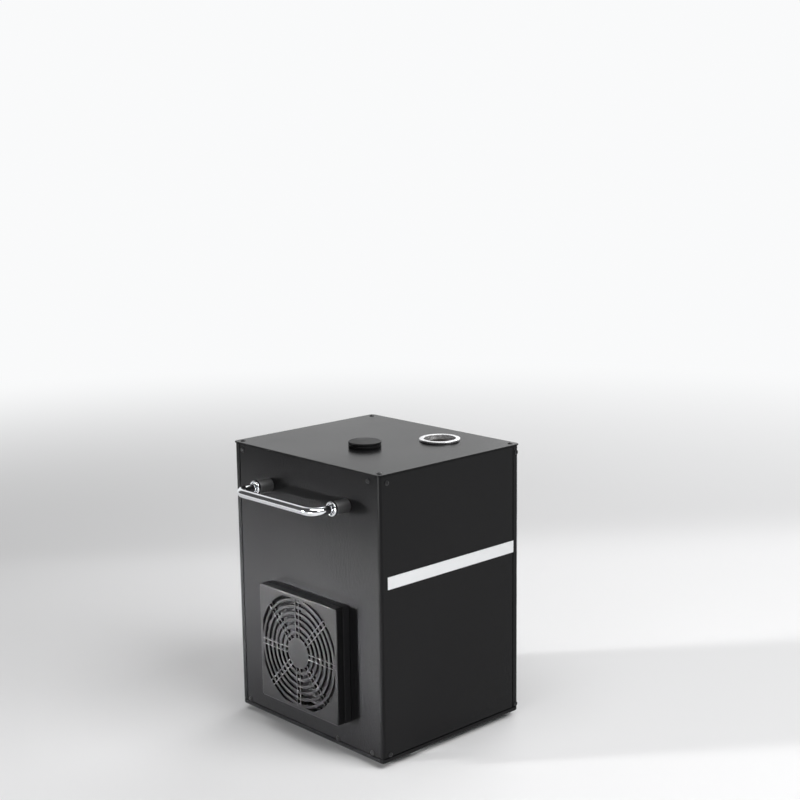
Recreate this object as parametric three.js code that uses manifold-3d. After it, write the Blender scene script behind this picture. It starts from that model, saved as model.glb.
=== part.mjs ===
// Cold spark machine: a folded steel case with a granule hopper, a feed screw, a heated nozzle and a blower.
// Millimetres, +Z up. The front is -Y, and the face with the fan guard is -X.
import * as THREE from 'three';
import { mergeVertices } from 'three/addons/utils/BufferGeometryUtils.js';
import Module from 'manifold-3d';

const wasm = await Module();
wasm.setup();

// Heights above the case's underside are given as shares of the case's height

// Clearances that all pieces share
const FIT = 0.3; // gap between pieces that touch
const OVERRUN = 2; // how far a cutter runs past the face that it cuts

// Case of folded steel sheet
const CASE_WIDTH = 200;
const CASE_DEPTH = 230;
const CASE_HEIGHT = 298;
const SHEET = 1.5;
const BEND_RADIUS = 4;
const SEAM = 1; // dark line between the cover and its neighbours
const RETURN_WIDTH = 8; // strip of the rear shell that shows at the outer corners
const LAP_WIDTH = 10; // inner flange behind the cover's edge
const TRAY_LIP = 5;
const TRAY_FLANGE = 16;
const TOP_OVERHANG = 1.2;
const TOP_FLANGE = 9;

// Rubber feet
const FOOT_HEIGHT = 6;
const FOOT_RADIUS = 9;
const FOOT_TAPER = 1;
const FOOT_INSET = 20;
const FOOT_SCREW_RADIUS = 3.5;
const FOOT_SCREW_DEPTH = 2.5;

// Trim strip across the front
const STRIP_RISE_SHARE = 0.60738;
const STRIP_HEIGHT = 12.8;
const STRIP_THICKNESS = 0.6;
const STRIP_MARGIN = 9.3;

// Carry handles
const HANDLE_Y = -6;
const HANDLE_RISE_SHARE = 0.87248;
const HANDLE_SPAN = 122;
const HANDLE_REACH = 43.5;
const HANDLE_BEND = 13;
const BAR_RADIUS = 4.4;
const BAR_STEP_COUNT = 24;
const STANDOFF_LENGTH = 17;
const STANDOFF_RADIUS = 7;
const STANDOFF_BORE = 2.6;
const FERRULE_RADIUS = 7.6;
const FERRULE_LENGTH = 3.6;
const FERRULE_CHAMFER = 0.8;

// Air slots of the right face
const VENT_LENGTH = 42;
const VENT_WIDTH = 3.2;
const VENT_PITCH = 10;
const VENT_COLUMN_PITCH = 52;
const VENT_RISE_SHARE = 0.18792;
const VENT_ROW_COUNT = 6;
const VENT_COLUMN_COUNT = 2;

// Fan behind the guard
const FAN_SIZE = 120;
const FAN_DEPTH = 25;
const FAN_RIM = 2; // thinnest wall round the bore
const FAN_CORNER = 6;
const FAN_HOLE_INSET = 7.5;
const FAN_HOLE_RADIUS = 2.2;
const FAN_BASE_THICKNESS = 4;
const FAN_HUB_RADIUS = 20;
const FAN_HUB_WALL = 2;
const FAN_STRUT_WIDTH = 5;
const FAN_RUNNING_GAP = 1;
const FAN_BEARING_RADIUS = 6;
const FAN_BEARING_LENGTH = 14;
const FAN_SHAFT_RADIUS = 2;
const BLADE_TIP_GAP = 4;
const BLADE_CHORD = 24;
const BLADE_THICKNESS = 1.8;
const BLADE_CAMBER = 2.4;
const BLADE_COUNT = 7;
const BLADE_STEP_COUNT = 2;
const BLADE_POINT_COUNT = 4;
const BLADE_ROOT_ANGLE = 0.72;
const BLADE_TIP_ANGLE = 0.42;

// Fan guard and its grille
const FAN_Y = -6;
const FAN_RISE_SHARE = 0.31544;
const GUARD_MARGIN = 2; // beyond the fan's edge
const GUARD_CORNER = 3;
const GUARD_FRAME_DEPTH = 8.2;
const GUARD_DEPTH = 17.5;
const GUARD_WALL = 1.8;
const GUARD_FACE = 2.4;
const FILTER_POCKET_INSET = 5;
const FILTER_POCKET_DEPTH = 4.2;
const FILTER_GAP = 2.5;
const GRILLE_HUB_RADIUS = 16.5;
const GRILLE_PITCH = 6.95;
const GRILLE_SLOT = 3.6;
const GRILLE_EDGE = 4.5; // solid margin that clips the outermost slots
const SPOKE_WIDTH = 1.2;
const SPOKE_SPACING = 5.5;
const GRILLE_RING_COUNT = 7;
const SPOKE_PAIR_COUNT = 4;
const CLIP_WIDTH = 14;
const CLIP_THICKNESS = 1.4;
const CLIP_DEPTH = 3.4;
const CLIP_ROOT = 2.6;

// Hopper under its cap
const HOPPER_X = -22;
const HOPPER_Y = -8;
const HOPPER_RADIUS = 38;
const HOPPER_WALL = 2;
const NECK_RADIUS = 15.5;
const NECK_WALL = 2;
const NECK_DROP = 12; // below the top plate's upper face
const CAP_RADIUS = 17.4;
const NECK_FLANGE = 2.5;
const CAP_HEIGHT = 6; // neck flange and cap together
const CAP_EDGE = 0.6;
const CAP_PLUG_LENGTH = 10;
const RIM_DROP = 4;
const RIM_HEIGHT = 10;
const SHOULDER_HEIGHT = 6;
const HOPPER_SIDE = 32;
const SPOUT_RADIUS = 8.5;
const SPOUT_LENGTH = 10;

// Feed barrel, screw and drive
const FEED_RISE_SHARE = 0.63758;
const BARREL_RADIUS = 12;
const BARREL_BORE = 6;
const BARREL_TAIL = 34; // from the hopper's axis back to the gearbox
const COUPLING_POCKET = 14;
const COUPLING_RADIUS = 5;
const COUPLING_LENGTH = 11;
const COUPLING_CLEARANCE = 1;
const NOSE_RADIUS = 8.5;
const SOCKET_RADIUS = 13;
const SOCKET_HEIGHT = 18;
const SOCKET_DEPTH = 8.5;
const AUGER_RADIUS = 5.2;
const AUGER_CORE = 2.2;
const AUGER_PITCH = 16;
const AUGER_STEP_COUNT = 6;
const DRIVE_SHAFT_RADIUS = 2.2;
const DRIVE_SHAFT_GRIP = 5;
const GEARBOX_RADIUS = 14;
const GEARBOX_LENGTH = 12;
const FEED_MOTOR_RADIUS = 12;
const FEED_MOTOR_LENGTH = 21;
const SADDLE_PLACE = 45;
const SADDLE_WIDTH = 20;
const SADDLE_THICKNESS = 10;

// Heated core, its coil and sleeve, and the nozzle above it
const NOZZLE_X = 53;
const NOZZLE_Y = -44;
const CORE_RADIUS = 17;
const CORE_BORE = 12;
const CORE_LOW_SHARE = 0.48322;
const CORE_HIGH_SHARE = 0.84564;
const CORE_COLLAR_RADIUS = 23;
const CORE_COLLAR = 3;
const SLEEVE_SEAT_RISE_SHARE = 0.67785;
const SLEEVE_HEIGHT = 42;
const SLEEVE_THICKNESS = 8;
const COIL_WIRE_RADIUS = 1.8;
const COIL_PITCH = 8;
const COIL_TURN_COUNT = 4;
const COIL_STEP_COUNT = 10;
const COIL_SIDES = 6;
const COIL_LIFT = 6; // above the collar that the sleeve sits on
const NOZZLE_TUBE_RADIUS = 16.7;
const NOZZLE_TUBE_DROP = 1;
const RING_RADIUS = 22;
const RING_BORE = 17.2;
const RING_SKIRT_RADIUS = 19;
const RING_SKIRT = 5;
const RING_HEIGHT = 2.4;
const RING_CHAMFER = 0.7;

// Shelf bracket that carries the heater and the feed
const SHELF_RISE_SHARE = 0.53691;
const SHELF_LEFT = -60;
const SHELF_RIGHT = 92;
const SHELF_FRONT = -84;
const SHELF_BACK = -14;
const SHELF_LIP = 8;
const SHELF_FOOT = 12;

// Blower under the heater
const SCROLL_START_RADIUS = 39;
const SCROLL_END_RADIUS = 50;
const SCROLL_START_ANGLE = Math.PI / 3;
const SCROLL_STEP_COUNT = 20;
const SCROLL_WALL = 2;
const SCROLL_WIDTH = 33;
const DUCT_WIDTH = 31;
const DUCT_RISE = 50;
const BLOWER_RISE = 56;
const BLOWER_FOOT_PLACE = 23;
const BLOWER_FOOT_WIDTH = 10;
const INTAKE_RADIUS = 27;
const IMPELLER_RADIUS = 34;
const IMPELLER_INNER = 26;
const IMPELLER_BLADE = 1.4;
const IMPELLER_BLADE_COUNT = 10;
const IMPELLER_PLATE = 2;
const IMPELLER_HUB = 6;
const IMPELLER_GAP = 1.2;
const IMPELLER_SHAFT = 3;
const BLOWER_MOTOR_RADIUS = 18;
const BLOWER_MOTOR_LENGTH = 14;
const PIPE_RADIUS = 14;
const PIPE_FLANGE_RADIUS = 17;
const PIPE_FLANGE = 2.5;
const PIPE_WALL = 2;
const PIPE_SOCKET = 8;

// Power supply and control board on the right
const SUPPLY_WIDTH = 48;
const SUPPLY_LENGTH = 108;
const SUPPLY_HEIGHT = 100;
const SUPPLY_BACK = 102;
const SUPPLY_TERMINAL_DEPTH = 14;
const SUPPLY_TERMINAL_DROP = 60;
const SUPPLY_TERMINAL_WIDTH = 8;
const SUPPLY_TERMINAL_HEIGHT = 12;
const SUPPLY_TERMINAL_COUNT = 4;
const BOARD_THICKNESS = 1.6;
const BOARD_LENGTH = 100;
const BOARD_HEIGHT = 88;
const BOARD_RISE_SHARE = 0.42282;
const BOARD_Y = 45;
const BOARD_STANDOFF = 9;
const PILLAR_RADIUS = 2.5;
const PILLAR_INSET = 6;
const CHIP_HEIGHT = 10;

// Rear panel: display and menu buttons
const DISPLAY_RISE_SHARE = 0.81879;
const WINDOW_WIDTH = 56;
const WINDOW_HEIGHT = 26;
const WINDOW_CORNER = 2;
const WINDOW_RIM = 3;
const WINDOW_PROUD = 0.6;
const BUTTON_RISE_SHARE = 0.71812;
const BUTTON_PITCH = 18;
const BUTTON_WIDTH = 11;
const BUTTON_HEIGHT = 7;
const BUTTON_CORNER = 2;
const BUTTON_PROUD = 2;
const BUTTON_FLANGE = 1.4;
const BUTTON_TRAVEL = 1;
const BUTTON_STEM_RADIUS = 1.6;
const DISPLAY_BOARD_WIDTH = 88;
const DISPLAY_BOARD_HEIGHT = 66;
const DISPLAY_BOARD_DROP = 12.4;
const SWITCH_HEIGHT = 4;
const SWITCH_WIDTH = 6;
const BUTTON_NAMES = ['button_menu', 'button_down', 'button_up', 'button_enter'];

// Rear panel: signal sockets
const SIGNAL_RISE_SHARE = 0.50336;
const SIGNAL_SPREAD = 30;
const SIGNAL_WIDTH = 26;
const SIGNAL_HEIGHT = 31;
const SIGNAL_PLATE = 2;
const SIGNAL_CORNER = 2.5;
const SIGNAL_BODY_RADIUS = 11.6;
const SIGNAL_BODY_DEPTH = 22;
const SIGNAL_BORE = 9.6;
const SIGNAL_BORE_DEPTH = 17;
const PIN_RADIUS = 1.2;
const PIN_CIRCLE = 5.2;
const PIN_COUNT = 3;
const PLUG_FACE_RADIUS = 7.4;
const TAB_WIDTH = 8;
const TAB_HEIGHT = 3.4;
const TAB_RISE = 12.4;
const TAB_PROUD = 3.2;
const TAB_TRAVEL = 1.6;

// Rear panel: power inlet, switch and fuse
const POWER_RISE_SHARE = 0.20805;
const INLET_U = 45;
const INLET_WIDTH = 30;
const INLET_HEIGHT = 26;
const INLET_EAR = 10;
const INLET_PLATE = 2.4;
const INLET_CORNER = 3;
const INLET_DEPTH = 24;
const INLET_WALL = 2.6;
const INLET_BLADE_WIDTH = 4;
const INLET_BLADE_THICKNESS = 2;
const INLET_BLADE_SPREAD = 7;
const INLET_BLADE_DROP = 2.5;
const SWITCH_FRAME_WIDTH = 21;
const SWITCH_FRAME_HEIGHT = 28;
const SWITCH_FRAME_PLATE = 2;
const SWITCH_BODY_DEPTH = 18;
const SWITCH_WALL = 3;
const ROCKER_RADIUS = 10.4;
const ROCKER_END_GAP = 0.6;
const ROCKER_DIP = 1.7;
const ROCKER_PIN = 1.2;
const ROCKER_PIN_GRIP = 1.5;
const ROCKER_TILT = Math.PI / 18;
const ROCKER_RISE_ANGLE = 0.32;
const ROCKER_DROP_ANGLE = 0.36;
const SWITCH_WELL = 6.6;
const FUSE_U = -36;
const FUSE_FLANGE_RADIUS = 9;
const FUSE_FLANGE = 2.5;
const FUSE_BODY_RADIUS = 6.2;
const FUSE_BODY_DEPTH = 28;
const FUSE_BORE = 4.8;
const FUSE_CAP_RADIUS = 6.6;
const FUSE_CAP = 4.1;
const FUSE_ROD_LENGTH = 22;
const FUSE_SLOT_WIDTH = 1.4;
const FUSE_SLOT_DEPTH = 1.2;

// Facets of round forms
const FINE_SIDES = 24;
const ROUND_SIDES = 16;
const STUD_SIDES = 12;
const SMALL_SIDES = 8;
const FOLD_ARC_STEPS = 3 / 2; // a quarter turn takes twice as many
const ARC_STEPS = 1 / 2;
const ROUND_ARC_STEPS = 1;

// Heights above the case's underside
const handleRise = HANDLE_RISE_SHARE * CASE_HEIGHT;
const stripRise = STRIP_RISE_SHARE * CASE_HEIGHT;
const ventRise = VENT_RISE_SHARE * CASE_HEIGHT;
const fanRise = FAN_RISE_SHARE * CASE_HEIGHT;
const feedRise = FEED_RISE_SHARE * CASE_HEIGHT;
const coreLow = CORE_LOW_SHARE * CASE_HEIGHT;
const coreHigh = CORE_HIGH_SHARE * CASE_HEIGHT;
const seatRise = SLEEVE_SEAT_RISE_SHARE * CASE_HEIGHT;
const shelfRise = SHELF_RISE_SHARE * CASE_HEIGHT;
const boardRise = BOARD_RISE_SHARE * CASE_HEIGHT;
const displayRise = DISPLAY_RISE_SHARE * CASE_HEIGHT;
const buttonRise = BUTTON_RISE_SHARE * CASE_HEIGHT;
const signalRise = SIGNAL_RISE_SHARE * CASE_HEIGHT;
const powerRise = POWER_RISE_SHARE * CASE_HEIGHT;

// Heights that follow from the case
const trayBase = FOOT_HEIGHT;
const trayTop = trayBase + SHEET;
const wallBase = trayBase + TRAY_LIP + SEAM;
const plateTop = trayBase + CASE_HEIGHT;
const plateBase = plateTop - SHEET;
const wallTop = plateBase - FIT;
const innerInset = SHEET + FIT; // from the case's outline to a flange behind its wall
const feedZ = trayBase + feedRise;
const shelfTop = trayBase + shelfRise;

// Sizes that follow from the fan
const fanBore = FAN_SIZE / 2 - FAN_RIM;
const fanHolePitch = FAN_SIZE - 2 * FAN_HOLE_INSET;
const bladeTipRadius = fanBore - BLADE_TIP_GAP;
const guardSize = FAN_SIZE + 2 * GUARD_MARGIN;
const filterPocket = guardSize - 2 * FILTER_POCKET_INSET;
const filterSize = filterPocket - 2 * FILTER_GAP;

// Materials
const finish = (color, roughness, metalness) =>
  new THREE.MeshStandardMaterial({ color, roughness, metalness });
const blackCoat = finish(0x1c1c1e, 0.45, 0.3);
const blackPlastic = finish(0x121214, 0.5, 0);
const chrome = finish(0xd8d8dc, 0.12, 1);
const silverTrim = finish(0xd0d2d6, 0.3, 0.8);
const rubber = finish(0x18181a, 0.9, 0);
const foam = finish(0x202022, 1, 0);
const steel = finish(0x9a9ca0, 0.35, 0.9);
const zinc = finish(0xb4b6ba, 0.4, 0.8);
const copper = finish(0xb87048, 0.35, 0.9);
const ceramic = finish(0xd8d2c4, 0.9, 0);
const boardGreen = finish(0x1c5a34, 0.6, 0.1);
const displayGlass = finish(0x10202c, 0.1, 0);
const redPlastic = finish(0xa01c1c, 0.4, 0);

// Solids: joins and cuts of closed geometries
function solidOf(geometry) {
  const bare = geometry.clone();
  bare.deleteAttribute('normal');
  bare.deleteAttribute('uv');
  const merged = mergeVertices(bare);
  const triVerts = new Uint32Array(merged.index.array);
  const vertProperties = merged.attributes.position.array;
  return new wasm.Manifold(new wasm.Mesh({ numProp: 3, vertProperties, triVerts }));
}

function geometryOf(solid) {
  const mesh = solid.getMesh();
  const geometry = new THREE.BufferGeometry();
  geometry.setAttribute('position', new THREE.BufferAttribute(mesh.vertProperties, 3));
  geometry.setIndex(new THREE.BufferAttribute(mesh.triVerts, 1));
  const faceted = geometry.toNonIndexed();
  faceted.computeVertexNormals();
  return faceted;
}

const join = (first, ...more) =>
  geometryOf(more.reduce((sum, g) => sum.add(solidOf(g)), solidOf(first)));
const cut = (body, ...tools) =>
  geometryOf(tools.reduce((rest, g) => rest.subtract(solidOf(g)), solidOf(body)));

// Basic forms
function block(x0, x1, y0, y1, z0, z1) {
  const box = new THREE.BoxGeometry(x1 - x0, y1 - y0, z1 - z0);
  return box.translate((x0 + x1) / 2, (y0 + y1) / 2, (z0 + z1) / 2);
}

function rod(radius, z0, z1, sides = ROUND_SIDES) {
  return post(radius, z0, z1, sides).rotateX(Math.PI / 2);
}

function post(radius, y0, y1, sides = ROUND_SIDES) {
  return new THREE.CylinderGeometry(radius, radius, y1 - y0, sides).translate(0, (y0 + y1) / 2, 0);
}

// A profile of [radius, height] points turned about Z
function turned(profile, sides = ROUND_SIDES) {
  const points = profile.map(([radius, height]) => new THREE.Vector2(radius, height));
  return new THREE.LatheGeometry(points, sides).rotateX(Math.PI / 2);
}

const ring = (outer, inner, z0, z1, sides) =>
  turned([[outer, z0], [outer, z1], [inner, z1], [inner, z0], [outer, z0]], sides);

function roundedRect(x0, x1, y0, y1, radius) {
  const shape = new THREE.Shape();
  const quarter = Math.PI / 2;
  shape.moveTo(x0 + radius, y0);
  shape.absarc(x1 - radius, y0 + radius, radius, -quarter, 0, false);
  shape.absarc(x1 - radius, y1 - radius, radius, 0, quarter, false);
  shape.absarc(x0 + radius, y1 - radius, radius, quarter, 2 * quarter, false);
  shape.absarc(x0 + radius, y0 + radius, radius, 2 * quarter, 3 * quarter, false);
  return shape;
}

function slab(shape, z0, z1, arcSteps = ARC_STEPS, steps = 1) {
  const settings = { depth: z1 - z0, steps, bevelEnabled: false, curveSegments: arcSteps };
  return new THREE.ExtrudeGeometry(shape, settings).translate(0, 0, z0);
}

// A rounded plate centred on its frame
const plate = (width, height, radius, z0, z1) =>
  slab(roundedRect(-width / 2, width / 2, -height / 2, height / 2, radius), z0, z1);

// A round bar of the given radius along a curve
function barAlong(curve, radius, steps, sides) {
  const section = new THREE.Shape().absarc(0, 0, radius, 0, 2 * Math.PI, false);
  const settings = { extrudePath: curve, steps, curveSegments: sides / 2, bevelEnabled: false };
  return new THREE.ExtrudeGeometry(section, settings);
}

// Groups: a frame has its x to the viewer's right, its y up and its z outwards
const machine = new THREE.Group();

function frameAt(outward, x, y, z) {
  const frame = new THREE.Group();
  const up = new THREE.Vector3(0, 0, 1);
  const right = new THREE.Vector3().crossVectors(up, outward);
  frame.quaternion.setFromRotationMatrix(new THREE.Matrix4().makeBasis(right, up, outward));
  frame.position.set(x, y, z);
  frame.updateMatrix();
  machine.add(frame);
  return frame;
}

const inFrame = (frame, geometry) => geometry.clone().applyMatrix4(frame.matrix);

function piece(name, parent, material, geometry) {
  const mesh = new THREE.Mesh(geometry, material);
  mesh.name = name;
  parent.add(mesh);
}

const toLeft = new THREE.Vector3(-1, 0, 0);
const toRight = new THREE.Vector3(1, 0, 0);
const toFront = new THREE.Vector3(0, -1, 0);
const toRear = new THREE.Vector3(0, 1, 0);
const feedRun = new THREE.Vector3(NOZZLE_X - HOPPER_X, NOZZLE_Y - HOPPER_Y, 0);
const feedLength = feedRun.length();

const handleFrames = {
  left: frameAt(toLeft, -CASE_WIDTH / 2, HANDLE_Y, trayBase + handleRise),
  right: frameAt(toRight, CASE_WIDTH / 2, HANDLE_Y, trayBase + handleRise),
};
const fanFrame = frameAt(toLeft, -CASE_WIDTH / 2, FAN_Y, trayBase + fanRise);
const frontFrame = frameAt(toFront, 0, -CASE_DEPTH / 2, trayBase);
const ventFrame = frameAt(toRight, CASE_WIDTH / 2, FAN_Y, trayBase + ventRise);
const rearFrame = frameAt(toRear, 0, CASE_DEPTH / 2, trayBase);
const feedFrame = frameAt(feedRun.clone().normalize(), HOPPER_X, HOPPER_Y, feedZ);
const blowerX = NOZZLE_X - SCROLL_END_RADIUS + DUCT_WIDTH / 2;
const blowerFrame = frameAt(toFront, blowerX, NOZZLE_Y, trayBase + BLOWER_RISE);

// Outline of the case, drawn in by an inset, with its rounded vertical corners
function caseOutline(inset) {
  const x = CASE_WIDTH / 2 - inset;
  const y = CASE_DEPTH / 2 - inset;
  return roundedRect(-x, x, -y, y, BEND_RADIUS - Math.min(inset, SHEET));
}

function caseBand(outerInset, innerInset, z0, z1) {
  const shape = caseOutline(outerInset);
  shape.holes.push(caseOutline(innerInset));
  return slab(shape, z0, z1, FOLD_ARC_STEPS);
}

// A sheet folded at square corners, from above: the points lie on its outer face, with the inside on the left
function foldedSheet(points, z0, z1) {
  const corners = points.map(([x, y]) => new THREE.Vector2(x, y));
  const runs = corners.slice(1).map((p, i) => p.clone().sub(corners[i]).normalize());
  const inwards = runs.map((run) => new THREE.Vector2(-run.y, run.x));
  const shape = new THREE.Shape();
  const last = corners.length - 1;
  const fold = (i, radius, clockwise) => {
    const centre = corners[i].clone().addScaledVector(inwards[i - 1], BEND_RADIUS);
    centre.addScaledVector(inwards[i], BEND_RADIUS);
    const angles = [inwards[i - 1], inwards[i]].map((inward) => inward.clone().negate().angle());
    const [from, to] = clockwise ? angles.reverse() : angles;
    shape.absarc(centre.x, centre.y, radius, from, to, clockwise);
  };
  shape.moveTo(corners[0].x, corners[0].y);
  for (let i = 1; i < last; i += 1) fold(i, BEND_RADIUS, false);
  shape.lineTo(corners[last].x, corners[last].y);
  const end = corners[last].clone().addScaledVector(inwards[last - 1], SHEET);
  const start = corners[0].clone().addScaledVector(inwards[0], SHEET);
  shape.lineTo(end.x, end.y);
  for (let i = last - 1; i > 0; i -= 1) fold(i, BEND_RADIUS - SHEET, true);
  shape.lineTo(start.x, start.y);
  return slab(shape, z0, z1, FOLD_ARC_STEPS);
}

// Base tray: floor, visible lip, and the flange that stands behind the walls
const lipTop = trayBase + TRAY_LIP;
const flangeInset = innerInset + SHEET;
piece('base_tray', machine, blackCoat, join(
  slab(caseOutline(0), trayBase, trayTop, FOLD_ARC_STEPS),
  caseBand(0, flangeInset, trayBase, lipTop),
  caseBand(innerInset, flangeInset, trayBase, trayBase + TRAY_FLANGE),
));

// Front cover: one sheet bent round the near corner, over the left and front faces
const seamX = CASE_WIDTH / 2 - RETURN_WIDTH - SEAM;
const seamY = CASE_DEPTH / 2 - RETURN_WIDTH - SEAM;
const handleScrews = (frame) => [-HANDLE_SPAN / 2, HANDLE_SPAN / 2].map(
  (u) => inFrame(frame, rod(STANDOFF_BORE, -SHEET - OVERRUN, OVERRUN, SMALL_SIDES).translate(u, 0, 0)),
);
piece('front_cover', machine, blackCoat, cut(
  foldedSheet([
    [-CASE_WIDTH / 2, seamY],
    [-CASE_WIDTH / 2, -CASE_DEPTH / 2],
    [seamX, -CASE_DEPTH / 2],
  ], wallBase, wallTop),
  inFrame(fanFrame, rod(fanBore, -SHEET - OVERRUN, OVERRUN, FINE_SIDES)),
  ...handleScrews(handleFrames.left),
));

// Rear shell: right and rear faces, with returns at the outer corners and a flange behind each cover edge
const lapBase = trayBase + TRAY_FLANGE + FIT;
const lapTop = plateBase - TOP_FLANGE - FIT;
function lapFlange(edge, outerFace) {
  // Seen along the wall: a step inwards at the return's edge, then the flange behind the cover
  const stepped = [edge, edge + SHEET, outerFace, outerFace + flangeInset, lapBase, lapTop];
  const flange = [edge - SEAM - LAP_WIDTH, edge + SHEET, outerFace + innerInset, outerFace + flangeInset];
  return join(block(...stepped), block(...flange, lapBase, lapTop));
}
const mirrorXY = new THREE.Matrix4().makeBasis(toRear, toRight, new THREE.Vector3(0, 0, -1));
const frontLap = lapFlange(CASE_WIDTH / 2 - RETURN_WIDTH, -CASE_DEPTH / 2);
const sideLap = lapFlange(CASE_DEPTH / 2 - RETURN_WIDTH, -CASE_WIDTH / 2)
  .applyMatrix4(mirrorXY)
  .translate(0, 0, lapBase + lapTop);

function slotShape(length, width) {
  const shape = new THREE.Shape();
  const end = (length - width) / 2;
  shape.absarc(end, 0, width / 2, -Math.PI / 2, Math.PI / 2, false);
  shape.absarc(-end, 0, width / 2, Math.PI / 2, (3 * Math.PI) / 2, false);
  return shape;
}

function ventSlots() {
  const slots = [];
  for (let row = 0; row < VENT_ROW_COUNT; row += 1) {
    for (let column = 0; column < VENT_COLUMN_COUNT; column += 1) {
      const u = (column - (VENT_COLUMN_COUNT - 1) / 2) * VENT_COLUMN_PITCH;
      const slot = slab(slotShape(VENT_LENGTH, VENT_WIDTH), -SHEET - OVERRUN, OVERRUN, ROUND_ARC_STEPS);
      slots.push(inFrame(ventFrame, slot.translate(u, row * VENT_PITCH, 0)));
    }
  }
  return slots;
}

// Places of the rear panel's pieces, to the right of the panel's middle as seen from behind
const buttonPlaces = BUTTON_NAMES.map((name, i) => (i - (BUTTON_NAMES.length - 1) / 2) * BUTTON_PITCH);
const wellWidth = SWITCH_FRAME_WIDTH - 2 * SWITCH_WALL;
const wellHeight = 2 * (ROCKER_RADIUS + ROCKER_END_GAP);
const switchBodyWidth = wellWidth + SWITCH_WALL;
const switchBodyHeight = wellHeight + SWITCH_WALL;
const inRear = (geometry, u, v) => inFrame(rearFrame, geometry.translate(u, v, 0));
const through = [-SHEET - OVERRUN, OVERRUN];
const rearCuts = [
  inRear(plate(WINDOW_WIDTH, WINDOW_HEIGHT, WINDOW_CORNER, ...through), 0, displayRise),
  ...buttonPlaces.map((u) => inRear(
    plate(BUTTON_WIDTH, BUTTON_HEIGHT, BUTTON_CORNER, ...through), u, buttonRise)),
  ...[-SIGNAL_SPREAD, SIGNAL_SPREAD].map((u) => inRear(
    rod(SIGNAL_BODY_RADIUS + FIT, ...through), u, signalRise)),
  inRear(plate(INLET_WIDTH, INLET_HEIGHT, INLET_CORNER, ...through), INLET_U, powerRise),
  inRear(plate(switchBodyWidth + 2 * FIT, switchBodyHeight + 2 * FIT, FIT, ...through), 0, powerRise),
  inRear(rod(FUSE_BODY_RADIUS + FIT, ...through), FUSE_U, powerRise),
];
piece('rear_shell', machine, blackCoat, cut(
  join(
    foldedSheet([
      [CASE_WIDTH / 2 - RETURN_WIDTH, -CASE_DEPTH / 2],
      [CASE_WIDTH / 2, -CASE_DEPTH / 2],
      [CASE_WIDTH / 2, CASE_DEPTH / 2],
      [-CASE_WIDTH / 2, CASE_DEPTH / 2],
      [-CASE_WIDTH / 2, CASE_DEPTH / 2 - RETURN_WIDTH],
    ], wallBase, wallTop),
    frontLap,
    sideLap,
  ),
  ...ventSlots(),
  ...handleScrews(handleFrames.right),
  ...rearCuts,
));

// Top plate over the walls, with a flange that stands inside them
const plateHole = (radius, x, y) =>
  rod(radius + FIT, plateBase - OVERRUN, plateTop + OVERRUN, FINE_SIDES).translate(x, y, 0);
piece('top_plate', machine, blackCoat, cut(
  join(
    slab(caseOutline(-TOP_OVERHANG), plateBase, plateTop, FOLD_ARC_STEPS),
    caseBand(innerInset, flangeInset, plateBase - TOP_FLANGE, plateTop),
  ),
  plateHole(NECK_RADIUS, HOPPER_X, HOPPER_Y),
  plateHole(RING_SKIRT_RADIUS, NOZZLE_X, NOZZLE_Y),
));

// Rubber feet, each with a screw recess
const footX = CASE_WIDTH / 2 - FOOT_INSET;
const footY = CASE_DEPTH / 2 - FOOT_INSET;
const footPlaces = {
  front_left: [-footX, -footY],
  front_right: [footX, -footY],
  rear_left: [-footX, footY],
  rear_right: [footX, footY],
};
for (const [place, [x, y]] of Object.entries(footPlaces)) {
  const foot = turned([
    [0, FOOT_SCREW_DEPTH],
    [FOOT_SCREW_RADIUS, FOOT_SCREW_DEPTH],
    [FOOT_SCREW_RADIUS, 0],
    [FOOT_RADIUS - FOOT_TAPER, 0],
    [FOOT_RADIUS, FOOT_HEIGHT - FIT],
    [0, FOOT_HEIGHT - FIT],
  ], STUD_SIDES);
  piece(`foot_${place}`, machine, rubber, foot.translate(x, y, 0));
}

// Trim strip on the front face, from near the bent corner to the seam
piece('trim_strip', frontFrame, silverTrim, block(
  STRIP_MARGIN - CASE_WIDTH / 2, seamX, stripRise, stripRise + STRIP_HEIGHT, FIT, FIT + STRIP_THICKNESS,
));

// Carry handles: a bent bar whose legs stand in ferrules on standoffs
const legBase = 2 * FIT + STANDOFF_LENGTH;
function handleCurve() {
  const side = HANDLE_SPAN / 2;
  const straight = side - HANDLE_BEND;
  const bend = HANDLE_REACH - HANDLE_BEND;
  const at = (u, w) => new THREE.Vector3(u, 0, w);
  const curve = new THREE.CurvePath();
  const line = (from, to) => curve.add(new THREE.LineCurve3(from, to));
  const turn = (from, corner, to) => curve.add(new THREE.QuadraticBezierCurve3(from, corner, to));
  line(at(-side, legBase), at(-side, bend));
  turn(at(-side, bend), at(-side, HANDLE_REACH), at(-straight, HANDLE_REACH));
  line(at(-straight, HANDLE_REACH), at(straight, HANDLE_REACH));
  turn(at(straight, HANDLE_REACH), at(side, HANDLE_REACH), at(side, bend));
  line(at(side, bend), at(side, legBase));
  return curve;
}
const ferruleProfile = [
  [FERRULE_RADIUS, legBase],
  [FERRULE_RADIUS, legBase + FERRULE_LENGTH - FERRULE_CHAMFER],
  [FERRULE_RADIUS - FERRULE_CHAMFER, legBase + FERRULE_LENGTH],
  [BAR_RADIUS + FIT, legBase + FERRULE_LENGTH],
  [BAR_RADIUS + FIT, legBase],
  [FERRULE_RADIUS, legBase],
];
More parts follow.
